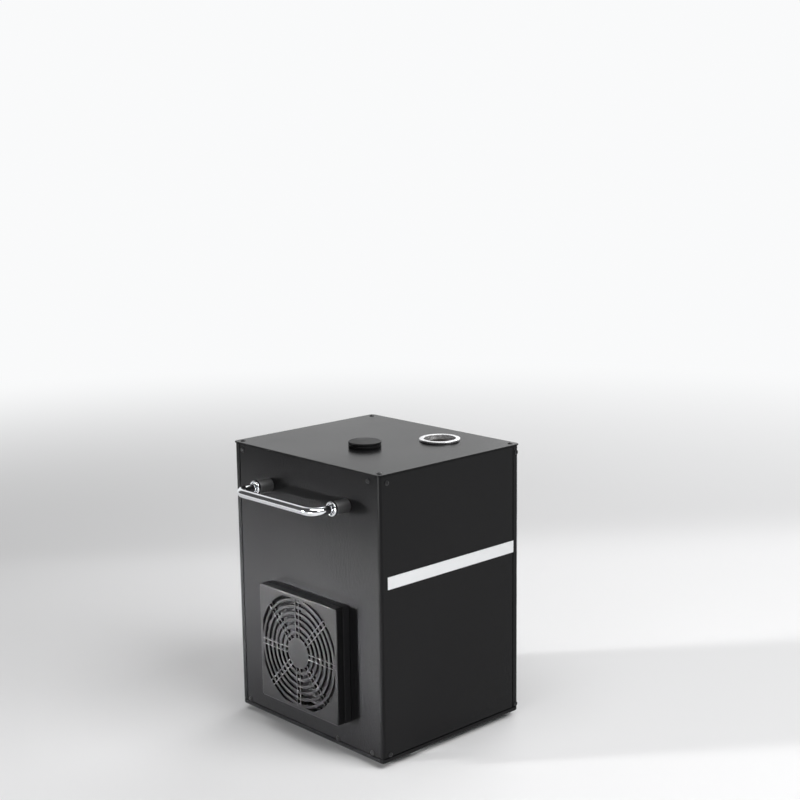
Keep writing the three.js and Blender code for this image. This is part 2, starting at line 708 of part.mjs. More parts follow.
for (const [side, frame] of Object.entries(handleFrames)) {
  const bar = barAlong(handleCurve(), BAR_RADIUS, BAR_STEP_COUNT, SMALL_SIDES);
  piece(`handle_bar_${side}`, frame, chrome, bar);
  for (const [end, u] of [['a', -HANDLE_SPAN / 2], ['b', HANDLE_SPAN / 2]]) {
    piece(`ferrule_${side}_${end}`, frame, chrome, turned(ferruleProfile, STUD_SIDES).translate(u, 0, 0));
    const standoff = ring(STANDOFF_RADIUS, STANDOFF_BORE, FIT, FIT + STANDOFF_LENGTH, STUD_SIDES);
    piece(`standoff_${side}_${end}`, frame, blackPlastic, standoff.translate(u, 0, 0));
  }
}

// Guard frame: fixed to the left face, with a round bore and a square pocket for the filter
const frameTop = FIT + GUARD_FRAME_DEPTH;
const pocketFloor = frameTop - FILTER_POCKET_DEPTH;
const fourCorners = (pitch, tool) => [[-1, -1], [-1, 1], [1, -1], [1, 1]].map(
  ([i, j]) => tool().translate(i * pitch / 2, j * pitch / 2, 0),
);
piece('guard_frame', fanFrame, blackPlastic, cut(
  plate(guardSize, guardSize, GUARD_CORNER, FIT, frameTop),
  rod(fanBore - FIT, -OVERRUN, frameTop + OVERRUN, FINE_SIDES),
  plate(filterPocket, filterPocket, GUARD_CORNER, pocketFloor, frameTop + OVERRUN),
  ...fourCorners(fanHolePitch, () => rod(FAN_HOLE_RADIUS, 0, frameTop, SMALL_SIDES)),
));
const filterPad = plate(filterSize, filterSize, GUARD_CORNER, pocketFloor + FIT, frameTop);
piece('filter_pad', fanFrame, foam, filterPad);

// Grille cover: a snap-on lid whose face has ring slots, held by paired spokes
const coverBase = frameTop + FIT;
const faceBase = GUARD_DEPTH - GUARD_FACE;
const clipReach = guardSize / 2 - GRILLE_EDGE;
const spokeInner = (SPOKE_SPACING - SPOKE_WIDTH) / 2;
const spokeOuter = (SPOKE_SPACING + SPOKE_WIDTH) / 2;

function arcPoints(radius, from, to, steps) {
  return Array.from({ length: steps + 1 }, (none, i) => {
    const angle = from + ((to - from) * i) / steps;
    return new THREE.Vector2(radius * Math.cos(angle), radius * Math.sin(angle));
  });
}

// The angles between which a slot's edge runs in a sector: between two spoke pairs and inside the margin
function slotLimits(radius, sector, sectorAngle) {
  const bySpoke = Math.asin(spokeOuter / radius);
  const byMargin = Math.max(bySpoke, Math.acos(Math.min(1, clipReach / radius)));
  const [first, last] = sector % 2 ? [bySpoke, byMargin] : [byMargin, bySpoke];
  return [sector * sectorAngle + first, (sector + 1) * sectorAngle - last];
}

function grilleOpenings() {
  const openings = [];
  const open = (...points) => {
    openings.push(slab(new THREE.Shape(points), faceBase - OVERRUN, GUARD_DEPTH + OVERRUN));
  };
  const sectorCount = 2 * SPOKE_PAIR_COUNT;
  const sectorAngle = (2 * Math.PI) / sectorCount;
  for (let i = 0; i < GRILLE_RING_COUNT; i += 1) {
    const inner = GRILLE_HUB_RADIUS + i * GRILLE_PITCH;
    const outer = inner + GRILLE_SLOT;
    const steps = 2 + Math.floor(i / 3);
    for (let sector = 0; sector < sectorCount; sector += 1) {
      const [outerFrom, outerTo] = slotLimits(outer, sector, sectorAngle);
      const [innerFrom, innerTo] = slotLimits(inner, sector, sectorAngle);
      open(...arcPoints(outer, outerFrom, outerTo, steps), ...arcPoints(inner, innerTo, innerFrom, steps));
      if (inner > clipReach && sector % 2 === 0) continue; // the margin is solid here
      const middle = sector * sectorAngle;
      const outerHalf = Math.asin(spokeInner / outer);
      const innerHalf = Math.asin(spokeInner / inner);
      open(
        ...arcPoints(outer, middle - outerHalf, middle + outerHalf, 1),
        ...arcPoints(inner, middle + innerHalf, middle - innerHalf, 1),
      );
    }
  }
  return openings;
}

function clipTongues() {
  const innerWall = guardSize / 2 - GUARD_WALL;
  const pocketWall = filterPocket / 2 - FIT;
  const tongueBack = pocketWall - CLIP_THICKNESS;
  const half = CLIP_WIDTH / 2;
  const clipTop = coverBase + CLIP_ROOT;
  return [0, 1, 2, 3].map((i) => join(
    block(-half, half, tongueBack, innerWall + GUARD_WALL / 2, coverBase, clipTop),
    block(-half, half, tongueBack, pocketWall, coverBase - CLIP_DEPTH, clipTop),
  ).rotateZ((i * Math.PI) / 2));
}

const lidInside = guardSize - 2 * GUARD_WALL;
piece('guard_cover', fanFrame, blackPlastic, join(
  cut(
    plate(guardSize, guardSize, GUARD_CORNER, coverBase, GUARD_DEPTH),
    plate(lidInside, lidInside, GUARD_CORNER - GUARD_WALL, coverBase - OVERRUN, faceBase),
    ...grilleOpenings(),
  ),
  ...clipTongues(),
));

// Fan frame: square housing with a bore, and struts that carry the bearing
const fanFront = -SHEET - FIT;
const fanBack = fanFront - FAN_DEPTH;
const baseTop = fanBack + FAN_BASE_THICKNESS;
const halfStrut = FAN_STRUT_WIDTH / 2;
const strut = (length) => block(-length, length, -halfStrut, halfStrut, fanBack, baseTop);
const strutReach = (fanBore + FAN_SIZE / 2) / 2;
piece('fan_frame', fanFrame, blackPlastic, cut(
  join(
    cut(
      plate(FAN_SIZE, FAN_SIZE, FAN_CORNER, fanBack, fanFront),
      rod(fanBore, fanBack - OVERRUN, fanFront + OVERRUN, FINE_SIDES),
      ...fourCorners(
        fanHolePitch, () => rod(FAN_HOLE_RADIUS, fanBack - OVERRUN, fanFront + OVERRUN, SMALL_SIDES),
      ),
    ),
    strut(strutReach),
    strut(strutReach).rotateZ(Math.PI / 2),
    rod(FAN_HUB_RADIUS, fanBack, baseTop),
    rod(FAN_BEARING_RADIUS, fanBack, fanBack + FAN_BEARING_LENGTH),
  ),
  rod(FAN_SHAFT_RADIUS + FIT, fanBack - OVERRUN, fanFront, SMALL_SIDES),
));

// Fan rotor: a cup with a shaft, and cambered blades whose pitch eases towards the tip
function fanBlade(middle) {
  const section = [];
  for (let i = 0; i < BLADE_POINT_COUNT; i += 1) {
    const share = i / (BLADE_POINT_COUNT - 1) - 1 / 2;
    section.push([share * BLADE_CHORD, BLADE_CAMBER * (1 - 4 * share * share)]);
  }
  const outline = [
    ...section.map(([a, b]) => new THREE.Vector2(a, b - BLADE_THICKNESS / 2)),
    ...section.reverse().map(([a, b]) => new THREE.Vector2(a, b + BLADE_THICKNESS / 2)),
  ];
  const root = FAN_HUB_RADIUS - FAN_HUB_WALL / 2;
  const blade = slab(new THREE.Shape(outline), root, bladeTipRadius, ARC_STEPS, BLADE_STEP_COUNT);
  const places = blade.attributes.position;
  for (let i = 0; i < places.count; i += 1) {
    const radial = places.getZ(i);
    const share = (radial - root) / (bladeTipRadius - root);
    const pitch = BLADE_ROOT_ANGLE + share * (BLADE_TIP_ANGLE - BLADE_ROOT_ANGLE);
    const chordwise = places.getX(i);
    const camber = places.getY(i);
    const along = chordwise * Math.cos(pitch) - camber * Math.sin(pitch);
    const axial = chordwise * Math.sin(pitch) + camber * Math.cos(pitch);
    places.setXYZ(i, radial, along, middle + axial);
  }
  return blade;
}

const cupBase = baseTop + FAN_RUNNING_GAP;
const cupTop = fanFront - FAN_RUNNING_GAP;
const cupFloor = cupTop - FAN_HUB_WALL;
const rotorCup = turned([
  [0, fanBack + FAN_RUNNING_GAP],
  [FAN_SHAFT_RADIUS, fanBack + FAN_RUNNING_GAP],
  [FAN_SHAFT_RADIUS, cupFloor],
  [FAN_HUB_RADIUS - FAN_HUB_WALL, cupFloor],
  [FAN_HUB_RADIUS - FAN_HUB_WALL, cupBase],
  [FAN_HUB_RADIUS, cupBase],
  [FAN_HUB_RADIUS, cupTop],
  [0, cupTop],
]);
const rotorBlades = Array.from({ length: BLADE_COUNT }, (none, i) =>
  fanBlade((cupBase + cupTop - BLADE_CAMBER) / 2).rotateZ((2 * Math.PI * i) / BLADE_COUNT));
piece('fan_rotor', fanFrame, blackPlastic, join(rotorCup, ...rotorBlades));

// Hopper cap, neck and funnel
const hopper = new THREE.Group();
hopper.position.set(HOPPER_X, HOPPER_Y, 0);
machine.add(hopper);
const neckTop = plateTop + FIT + NECK_FLANGE;
const neckBase = plateTop - NECK_DROP;
const neckBore = NECK_RADIUS - NECK_WALL;
const capTop = plateTop + CAP_HEIGHT;
const capBase = neckTop + FIT;
const plugRadius = neckBore - FIT;
piece('hopper_cap', hopper, blackPlastic, turned([
  [0, capBase - CAP_PLUG_LENGTH],
  [plugRadius, capBase - CAP_PLUG_LENGTH],
  [plugRadius, capBase],
  [CAP_RADIUS, capBase],
  [CAP_RADIUS, capTop - CAP_EDGE],
  [CAP_RADIUS - CAP_EDGE, capTop],
  [0, capTop],
], FINE_SIDES));
piece('hopper_neck', hopper, blackPlastic, turned([
  [NECK_RADIUS, neckBase],
  [NECK_RADIUS, plateTop + FIT],
  [CAP_RADIUS, plateTop + FIT],
  [CAP_RADIUS, neckTop],
  [neckBore, neckTop],
  [neckBore, neckBase],
  [NECK_RADIUS, neckBase],
], FINE_SIDES));

const rimTop = plateTop - RIM_DROP;
const rimBase = rimTop - RIM_HEIGHT;
const sideTop = rimBase - SHOULDER_HEIGHT;
const sideBase = sideTop - HOPPER_SIDE;
const socketTop = feedZ + SOCKET_HEIGHT;
const spoutBase = socketTop - SOCKET_DEPTH + FIT;
const coneBase = spoutBase + SPOUT_LENGTH;
const rimBore = (NECK_RADIUS + FIT) / Math.cos(Math.PI / ROUND_SIDES);
piece('hopper_funnel', hopper, zinc, turned([
  [SPOUT_RADIUS, spoutBase],
  [SPOUT_RADIUS, coneBase],
  [HOPPER_RADIUS, sideBase],
  [HOPPER_RADIUS, sideTop],
  [rimBore + HOPPER_WALL, rimBase],
  [rimBore + HOPPER_WALL, rimTop],
  [rimBore, rimTop],
  [rimBore, rimBase - HOPPER_WALL / 2],
  [HOPPER_RADIUS - HOPPER_WALL, sideTop - HOPPER_WALL / 2],
  [HOPPER_RADIUS - HOPPER_WALL, sideBase + HOPPER_WALL / 2],
  [SPOUT_RADIUS - HOPPER_WALL, coneBase + HOPPER_WALL / 2],
  [SPOUT_RADIUS - HOPPER_WALL, spoutBase],
  [SPOUT_RADIUS, spoutBase],
]));

// Feed barrel: from the gearbox under the hopper's spout to the heated core
const coreFace = feedLength - CORE_RADIUS;
const noseEnd = feedLength - CORE_BORE;
const barrelEnd = coreFace - FIT;
piece('feed_barrel', feedFrame, zinc, cut(
  join(
    rod(BARREL_RADIUS, -BARREL_TAIL, barrelEnd),
    rod(NOSE_RADIUS, 0, noseEnd),
    post(SOCKET_RADIUS, 0, SOCKET_HEIGHT),
  ),
  rod(BARREL_BORE, -BARREL_TAIL - OVERRUN, noseEnd + OVERRUN),
  rod(COUPLING_RADIUS + COUPLING_CLEARANCE, -BARREL_TAIL - OVERRUN, COUPLING_POCKET - BARREL_TAIL),
  post(SPOUT_RADIUS + FIT, SOCKET_HEIGHT - SOCKET_DEPTH, SOCKET_HEIGHT + OVERRUN),
  post(SPOUT_RADIUS - HOPPER_WALL, 0, SOCKET_HEIGHT),
));

// Feed screw: a core and one flight, twisted along the barrel, on the drive shaft's coupling
function feedScrew(z0, z1) {
  const section = new THREE.Shape();
  const flightShare = 0.1;
  const coreShare = 0.2;
  const turn = 2 * Math.PI;
  section.absarc(0, 0, AUGER_CORE, coreShare * turn, (1 - coreShare) * turn, false);
  section.absarc(0, 0, AUGER_RADIUS, -flightShare * turn, flightShare * turn, false);
  const steps = Math.round(((z1 - z0) / AUGER_PITCH) * AUGER_STEP_COUNT);
  const screw = slab(section, z0, z1, ROUND_ARC_STEPS, steps);
  const places = screw.attributes.position;
  for (let i = 0; i < places.count; i += 1) {
    const angle = (turn * places.getZ(i)) / AUGER_PITCH;
    const x = places.getX(i) * Math.cos(angle) - places.getY(i) * Math.sin(angle);
    const y = places.getX(i) * Math.sin(angle) + places.getY(i) * Math.cos(angle);
    places.setXYZ(i, x, y, places.getZ(i));
  }
  return screw;
}

const couplingBase = FIT + COUPLING_CLEARANCE - BARREL_TAIL;
const couplingTop = couplingBase + COUPLING_LENGTH;
const screwStart = COUPLING_POCKET - BARREL_TAIL;
piece('feed_auger', feedFrame, steel, join(
  feedScrew(screwStart, noseEnd - OVERRUN),
  rod(AUGER_CORE, couplingTop - DRIVE_SHAFT_GRIP, screwStart + AUGER_CORE, SMALL_SIDES),
));
const couplingBore = Math.max(AUGER_CORE, DRIVE_SHAFT_RADIUS) + FIT;
piece('auger_coupling', feedFrame, steel,
  ring(COUPLING_RADIUS, couplingBore, couplingBase, couplingTop, SMALL_SIDES));

// Gearbox, its output shaft and the feed motor
const gearboxFront = -BARREL_TAIL - FIT;
const gearboxBack = gearboxFront - GEARBOX_LENGTH;
piece('drive_shaft', feedFrame, steel,
  rod(DRIVE_SHAFT_RADIUS, gearboxBack + SHEET, couplingBase + DRIVE_SHAFT_GRIP, SMALL_SIDES));
piece('feed_gearbox', feedFrame, steel, cut(
  rod(GEARBOX_RADIUS, gearboxBack, gearboxFront),
  rod(DRIVE_SHAFT_RADIUS + FIT, gearboxBack - OVERRUN, gearboxFront + OVERRUN, SMALL_SIDES),
));
const motorFront = gearboxBack - FIT;
piece('feed_motor', feedFrame, zinc, rod(FEED_MOTOR_RADIUS, motorFront - FEED_MOTOR_LENGTH, motorFront));

// Saddle between the shelf and the barrel
piece('barrel_saddle', feedFrame, zinc, cut(
  block(-SADDLE_WIDTH / 2, SADDLE_WIDTH / 2, shelfTop + FIT - feedZ, -BARREL_RADIUS / 2,
    SADDLE_PLACE, SADDLE_PLACE + SADDLE_THICKNESS),
  rod(BARREL_RADIUS + FIT, SADDLE_PLACE - OVERRUN, SADDLE_PLACE + SADDLE_THICKNESS + OVERRUN),
));

// Heated core with its collars, coil, sleeve, and the nozzle tube and ring above
const heater = new THREE.Group();
heater.position.set(NOZZLE_X, NOZZLE_Y, 0);
machine.add(heater);
const coreBase = trayBase + coreLow;
const coreTop = trayBase + coreHigh;
const collarBase = shelfTop + FIT;
const seatBase = trayBase + seatRise;
const seatTop = seatBase + CORE_COLLAR;
const portCutter = inFrame(feedFrame, rod(NOSE_RADIUS + FIT, coreFace - OVERRUN, feedLength));
piece('heater_core', heater, steel, cut(
  turned([
    [CORE_RADIUS, coreBase],
    [CORE_RADIUS, collarBase],
    [CORE_COLLAR_RADIUS, collarBase],
    [CORE_COLLAR_RADIUS, collarBase + CORE_COLLAR],
    [CORE_RADIUS, collarBase + CORE_COLLAR],
    [CORE_RADIUS, seatBase],
    [CORE_COLLAR_RADIUS, seatBase],
    [CORE_COLLAR_RADIUS, seatTop],
    [CORE_RADIUS, seatTop],
    [CORE_RADIUS, coreTop],
    [CORE_BORE, coreTop],
    [CORE_BORE, coreBase],
    [CORE_RADIUS, coreBase],
  ]),
  portCutter.translate(-NOZZLE_X, -NOZZLE_Y, 0),
));

class Helix extends THREE.Curve {
  constructor(radius, pitch, turnCount, low) {
    super();
    Object.assign(this, { radius, pitch, turnCount, low });
  }

  getPoint(share, target = new THREE.Vector3()) {
    const angle = 2 * Math.PI * this.turnCount * share;
    const height = this.low + this.pitch * this.turnCount * share;
    return target.set(this.radius * Math.cos(angle), this.radius * Math.sin(angle), height);
  }
}
const coilRadius = (CORE_RADIUS + FIT + COIL_WIRE_RADIUS) / Math.cos(Math.PI / COIL_STEP_COUNT);
const coil = new Helix(coilRadius, COIL_PITCH, COIL_TURN_COUNT, seatBase + COIL_LIFT);
piece('heater_coil', heater, copper,
  barAlong(coil, COIL_WIRE_RADIUS, COIL_TURN_COUNT * COIL_STEP_COUNT, COIL_SIDES));
const sleeveBore = (coilRadius + COIL_WIRE_RADIUS + FIT) / Math.cos(Math.PI / ROUND_SIDES);
piece('heater_sleeve', heater, ceramic,
  ring(sleeveBore + SLEEVE_THICKNESS, sleeveBore, seatTop + FIT, seatTop + FIT + SLEEVE_HEIGHT));
piece('nozzle_tube', heater, steel,
  ring(NOZZLE_TUBE_RADIUS, CORE_BORE, coreTop + FIT, plateTop - NOZZLE_TUBE_DROP));
const ringBase = plateTop + FIT;
const ringTop = ringBase + RING_HEIGHT;
piece('nozzle_ring', heater, chrome, turned([
  [RING_SKIRT_RADIUS, plateTop - RING_SKIRT],
  [RING_SKIRT_RADIUS, ringBase],
  [RING_RADIUS, ringBase],
  [RING_RADIUS, ringTop - RING_CHAMFER],
  [RING_RADIUS - RING_CHAMFER, ringTop],
  [RING_BORE, ringTop],
  [RING_BORE, plateTop - RING_SKIRT],
  [RING_SKIRT_RADIUS, plateTop - RING_SKIRT],
], FINE_SIDES));

// Shelf bracket: a shelf with a downturned front lip, on two legs with feet
const shelfBase = shelfTop - SHEET;
const bracketBase = trayTop + FIT;
const shelfPart = (x0, x1, z0, z1) => block(x0, x1, SHELF_FRONT, SHELF_BACK, z0, z1);
piece('shelf_bracket', machine, zinc, cut(
  join(
    shelfPart(SHELF_LEFT, SHELF_RIGHT, shelfBase, shelfTop),
    block(SHELF_LEFT, SHELF_RIGHT, SHELF_FRONT, SHELF_FRONT + SHEET, shelfTop - SHELF_LIP, shelfTop),
    shelfPart(SHELF_LEFT, SHELF_LEFT + SHEET, bracketBase, shelfTop),
    shelfPart(SHELF_RIGHT - SHEET, SHELF_RIGHT, bracketBase, shelfTop),
    shelfPart(SHELF_LEFT - SHELF_FOOT, SHELF_LEFT + SHEET, bracketBase, bracketBase + SHEET),
    shelfPart(SHELF_RIGHT - SHELF_FOOT, SHELF_RIGHT, bracketBase, bracketBase + SHEET),
  ),
  rod(CORE_RADIUS + FIT, shelfBase - OVERRUN, shelfTop + OVERRUN).translate(NOZZLE_X, NOZZLE_Y, 0),
));

// Blower housing: a scroll whose duct rises under the heater
function scrollShape(wall, ductTop) {
  const points = [
    new THREE.Vector2(SCROLL_END_RADIUS - wall, ductTop),
    new THREE.Vector2(SCROLL_END_RADIUS - DUCT_WIDTH + wall, ductTop),
  ];
  for (let i = 0; i <= SCROLL_STEP_COUNT; i += 1) {
    const share = i / SCROLL_STEP_COUNT;
    const angle = SCROLL_START_ANGLE + share * (2 * Math.PI - SCROLL_START_ANGLE);
    const radius = SCROLL_START_RADIUS + share * (SCROLL_END_RADIUS - SCROLL_START_RADIUS) - wall;
    points.push(new THREE.Vector2(radius * Math.cos(angle), radius * Math.sin(angle)));
  }
  return new THREE.Shape(points);
}

const halfScroll = SCROLL_WIDTH / 2;
const blowerFootBase = trayTop + FIT - blowerFrame.position.z;
const halfFoot = BLOWER_FOOT_WIDTH / 2;
const blowerFoot = (u) =>
  block(u - halfFoot, u + halfFoot, blowerFootBase, -SCROLL_START_RADIUS / 2, -halfScroll, halfScroll);
piece('blower_housing', blowerFrame, blackPlastic, cut(
  join(
    slab(scrollShape(0, DUCT_RISE), -halfScroll, halfScroll),
    blowerFoot(-BLOWER_FOOT_PLACE),
    blowerFoot(BLOWER_FOOT_PLACE),
  ),
  slab(scrollShape(SCROLL_WALL, DUCT_RISE + OVERRUN), SCROLL_WALL - halfScroll, halfScroll - SCROLL_WALL),
  rod(INTAKE_RADIUS, 0, halfScroll + OVERRUN, FINE_SIDES),
  rod(IMPELLER_SHAFT + FIT, -halfScroll - OVERRUN, 0, SMALL_SIDES),
));

// Blower impeller: back plate, ring of blades, front ring, hub and shaft
const impellerBack = SCROLL_WALL + IMPELLER_GAP - halfScroll;
const impellerFront = halfScroll - SCROLL_WALL - IMPELLER_GAP;
const halfBlade = IMPELLER_BLADE / 2;
const impellerBlades = Array.from({ length: IMPELLER_BLADE_COUNT }, (none, i) => block(
  IMPELLER_INNER, IMPELLER_RADIUS - halfBlade, -halfBlade, halfBlade, impellerBack, impellerFront,
).rotateZ((2 * Math.PI * i) / IMPELLER_BLADE_COUNT));
piece('blower_impeller', blowerFrame, blackPlastic, join(
  rod(IMPELLER_RADIUS, impellerBack, impellerBack + IMPELLER_PLATE),
  ring(IMPELLER_RADIUS, IMPELLER_RADIUS - IMPELLER_HUB, impellerFront - IMPELLER_PLATE, impellerFront),
  rod(IMPELLER_HUB, impellerBack, 0),
  rod(IMPELLER_SHAFT, -halfScroll - BLOWER_MOTOR_LENGTH / 2, 0, SMALL_SIDES),
  ...impellerBlades,
));
const blowerMotorFront = -halfScroll - FIT;
piece('blower_motor', blowerFrame, zinc, ring(
  BLOWER_MOTOR_RADIUS, IMPELLER_SHAFT + FIT, blowerMotorFront - BLOWER_MOTOR_LENGTH, blowerMotorFront,
));

// Air pipe from the blower's duct to the heated core
const pipeBase = blowerFrame.position.z + DUCT_RISE + FIT;
const pipeTop = coreBase + PIPE_SOCKET;
const pipeBore = PIPE_RADIUS - PIPE_WALL;
piece('air_pipe', heater, steel, turned([
  [PIPE_FLANGE_RADIUS, pipeBase],
  [PIPE_FLANGE_RADIUS, pipeBase + PIPE_FLANGE],
  [PIPE_RADIUS, pipeBase + PIPE_FLANGE],
  [PIPE_RADIUS, coreBase - FIT - 2 * PIPE_WALL],
  [CORE_RADIUS + FIT + PIPE_WALL, coreBase - FIT - PIPE_WALL],
  [CORE_RADIUS + FIT + PIPE_WALL, pipeTop],
  [CORE_RADIUS + FIT, pipeTop],
  [CORE_RADIUS + FIT, coreBase - FIT],
  [pipeBore, coreBase - FIT],
  [pipeBore, pipeBase],
  [PIPE_FLANGE_RADIUS, pipeBase],
]));

// Power supply on the tray, with its terminal step at the rear
const supplyRight = CASE_WIDTH / 2 - flangeInset - FIT;
const supplyLeft = supplyRight - SUPPLY_WIDTH;
const supplyBase = trayTop + FIT;
const supplyFront = SUPPLY_BACK - SUPPLY_LENGTH;
const supplyTop = supplyBase + SUPPLY_HEIGHT;
const stepTop = supplyTop - SUPPLY_TERMINAL_DROP;
const terminalPitch = SUPPLY_WIDTH / SUPPLY_TERMINAL_COUNT;
const terminals = Array.from({ length: SUPPLY_TERMINAL_COUNT }, (none, i) => {
  const x = supplyLeft + (i + 1 / 2) * terminalPitch;
  const half = SUPPLY_TERMINAL_WIDTH / 2;
  return block(x - half, x + half, SUPPLY_BACK - SUPPLY_TERMINAL_DEPTH + SHEET, SUPPLY_BACK - SHEET,
    stepTop - SHEET, stepTop + SUPPLY_TERMINAL_HEIGHT);
});
piece('power_supply', machine, zinc, join(
  cut(
    block(supplyLeft, supplyRight, supplyFront, SUPPLY_BACK, supplyBase, supplyTop),
    block(supplyLeft - OVERRUN, supplyRight + OVERRUN, SUPPLY_BACK - SUPPLY_TERMINAL_DEPTH,
      SUPPLY_BACK + OVERRUN, stepTop, supplyTop + OVERRUN),
  ),
  ...terminals,
));

// Control board on pillars from the right wall, with its large parts
const boardMiddle = trayBase + boardRise + BOARD_HEIGHT / 2;
const boardFrame = frameAt(toLeft, CASE_WIDTH / 2 - SHEET - FIT, BOARD_Y, boardMiddle);
const boardTop = BOARD_STANDOFF + BOARD_THICKNESS;
const chipShares = [[-0.34, 0.3, 0.2, 0.24], [-0.05, 0.28, 0.14, 0.3], [0.28, 0.26, 0.28, 0.2],
  [-0.3, -0.14, 0.26, 0.22], [0.08, -0.12, 0.18, 0.16], [0.34, -0.24, 0.16, 0.34]];
const chips = chipShares.map(([u, v, width, height]) => {
  const w = width * BOARD_LENGTH;
  const h = height * BOARD_HEIGHT;
  const x = u * BOARD_LENGTH - w / 2;
  const y = v * BOARD_HEIGHT - h / 2;
  return block(x, x + w, y, y + h, boardTop - BOARD_THICKNESS / 2, boardTop + CHIP_HEIGHT);
});
function pillars(width, height, z0, z1) {
  const u = width / 2 - PILLAR_INSET;
  const v = height / 2 - PILLAR_INSET;
  return [[-u, -v], [-u, v], [u, -v], [u, v]].map(
    ([x, y]) => rod(PILLAR_RADIUS, z0, z1, SMALL_SIDES).translate(x, y, 0),
  );
}
piece('control_board', boardFrame, boardGreen, join(
  plate(BOARD_LENGTH, BOARD_HEIGHT, BUTTON_CORNER, BOARD_STANDOFF, boardTop),
  ...pillars(BOARD_LENGTH, BOARD_HEIGHT, 0, BOARD_STANDOFF + BOARD_THICKNESS / 2),
  ...chips,
));

// Display window in the rear panel, and the board behind it and the buttons
const panelInside = -SHEET - FIT;
const at = (geometry, u, v) => geometry.translate(u, v, 0);
const windowRear = panelInside - SHEET;
piece('display_window', rearFrame, displayGlass, at(join(
  plate(WINDOW_WIDTH - 2 * FIT, WINDOW_HEIGHT - 2 * FIT, WINDOW_CORNER, windowRear, WINDOW_PROUD),
  plate(WINDOW_WIDTH + WINDOW_RIM, WINDOW_HEIGHT + WINDOW_RIM, WINDOW_CORNER, windowRear, panelInside),
), 0, displayRise));
const boardFace = -DISPLAY_BOARD_DROP;
const displayBoardMiddle = (displayRise + buttonRise) / 2;
const windowBack = windowRear - FIT;
const boardBack = boardFace - BOARD_THICKNESS;
const boardRoot = boardFace - BOARD_THICKNESS / 2;
const boardPlate = plate(DISPLAY_BOARD_WIDTH, DISPLAY_BOARD_HEIGHT, BUTTON_CORNER, boardBack, boardFace);
const keySwitch = (u) =>
  at(plate(SWITCH_WIDTH, SWITCH_WIDTH, FIT, boardRoot, boardFace + SWITCH_HEIGHT), u, buttonRise);
piece('display_board', rearFrame, boardGreen, join(
  at(boardPlate, 0, displayBoardMiddle),
  at(plate(WINDOW_WIDTH, WINDOW_HEIGHT, WINDOW_CORNER, boardRoot, windowBack), 0, displayRise),
  ...pillars(DISPLAY_BOARD_WIDTH, DISPLAY_BOARD_HEIGHT, boardRoot, panelInside)
    .map((pillar) => at(pillar, 0, displayBoardMiddle)),
  ...buttonPlaces.map(keySwitch),
));

// Menu buttons: a cap through the panel, a flange behind it, and a stem to its switch
BUTTON_NAMES.forEach((name, i) => {
  const flangeBack = panelInside - BUTTON_FLANGE;
  const stemEnd = boardFace + SWITCH_HEIGHT + FIT + BUTTON_TRAVEL;
  const rim = 2 * BUTTON_FLANGE;
  piece(name, rearFrame, blackPlastic, at(join(
    plate(BUTTON_WIDTH - 2 * FIT, BUTTON_HEIGHT - 2 * FIT, BUTTON_CORNER - FIT, flangeBack, BUTTON_PROUD),
    plate(BUTTON_WIDTH + rim, BUTTON_HEIGHT + rim, BUTTON_CORNER, flangeBack, panelInside),
    rod(BUTTON_STEM_RADIUS, stemEnd, panelInside, SMALL_SIDES),
  ), buttonPlaces[i], buttonRise));
});

// Signal sockets: the input has pins in its bore, the output has holes in its face
const signalPlate = () => plate(SIGNAL_WIDTH, SIGNAL_HEIGHT, SIGNAL_CORNER, FIT, FIT + SIGNAL_PLATE);
const signalTop = FIT + SIGNAL_PLATE;
const boreFloor = signalTop - SIGNAL_BORE_DEPTH;
const pinAngle = (2 * Math.PI) / PIN_COUNT;
const signalPins = (radius, z0, z1) => Array.from({ length: PIN_COUNT }, (none, i) =>
  rod(radius, z0, z1, SMALL_SIDES).translate(PIN_CIRCLE, 0, 0).rotateZ((i + 1 / 4) * pinAngle));
const signalBody = rod(SIGNAL_BODY_RADIUS, signalTop - SIGNAL_BODY_DEPTH, signalTop);
piece('signal_input', rearFrame, blackPlastic, at(join(
  cut(join(signalPlate(), signalBody), rod(SIGNAL_BORE, boreFloor, signalTop + OVERRUN)),
  ...signalPins(PIN_RADIUS, boreFloor - OVERRUN, -SHEET),
), SIGNAL_SPREAD, signalRise));
const tabSlot = (margin, z0, z1) => at(
  plate(TAB_WIDTH + 2 * margin, TAB_HEIGHT + 2 * margin, margin + FIT, z0, z1), 0, TAB_RISE);
piece('signal_output', rearFrame, blackPlastic, at(cut(
  join(signalPlate(), signalBody),
  ring(SIGNAL_BORE, PLUG_FACE_RADIUS, boreFloor, signalTop + OVERRUN),
  ...signalPins(PIN_RADIUS + FIT, boreFloor, signalTop + OVERRUN),
  tabSlot(FIT, -OVERRUN, signalTop + OVERRUN),
), -SIGNAL_SPREAD, signalRise));
const releaseTab = tabSlot(0, FIT + TAB_TRAVEL, signalTop + TAB_PROUD);
piece('release_tab', rearFrame, zinc, at(releaseTab, -SIGNAL_SPREAD, signalRise));

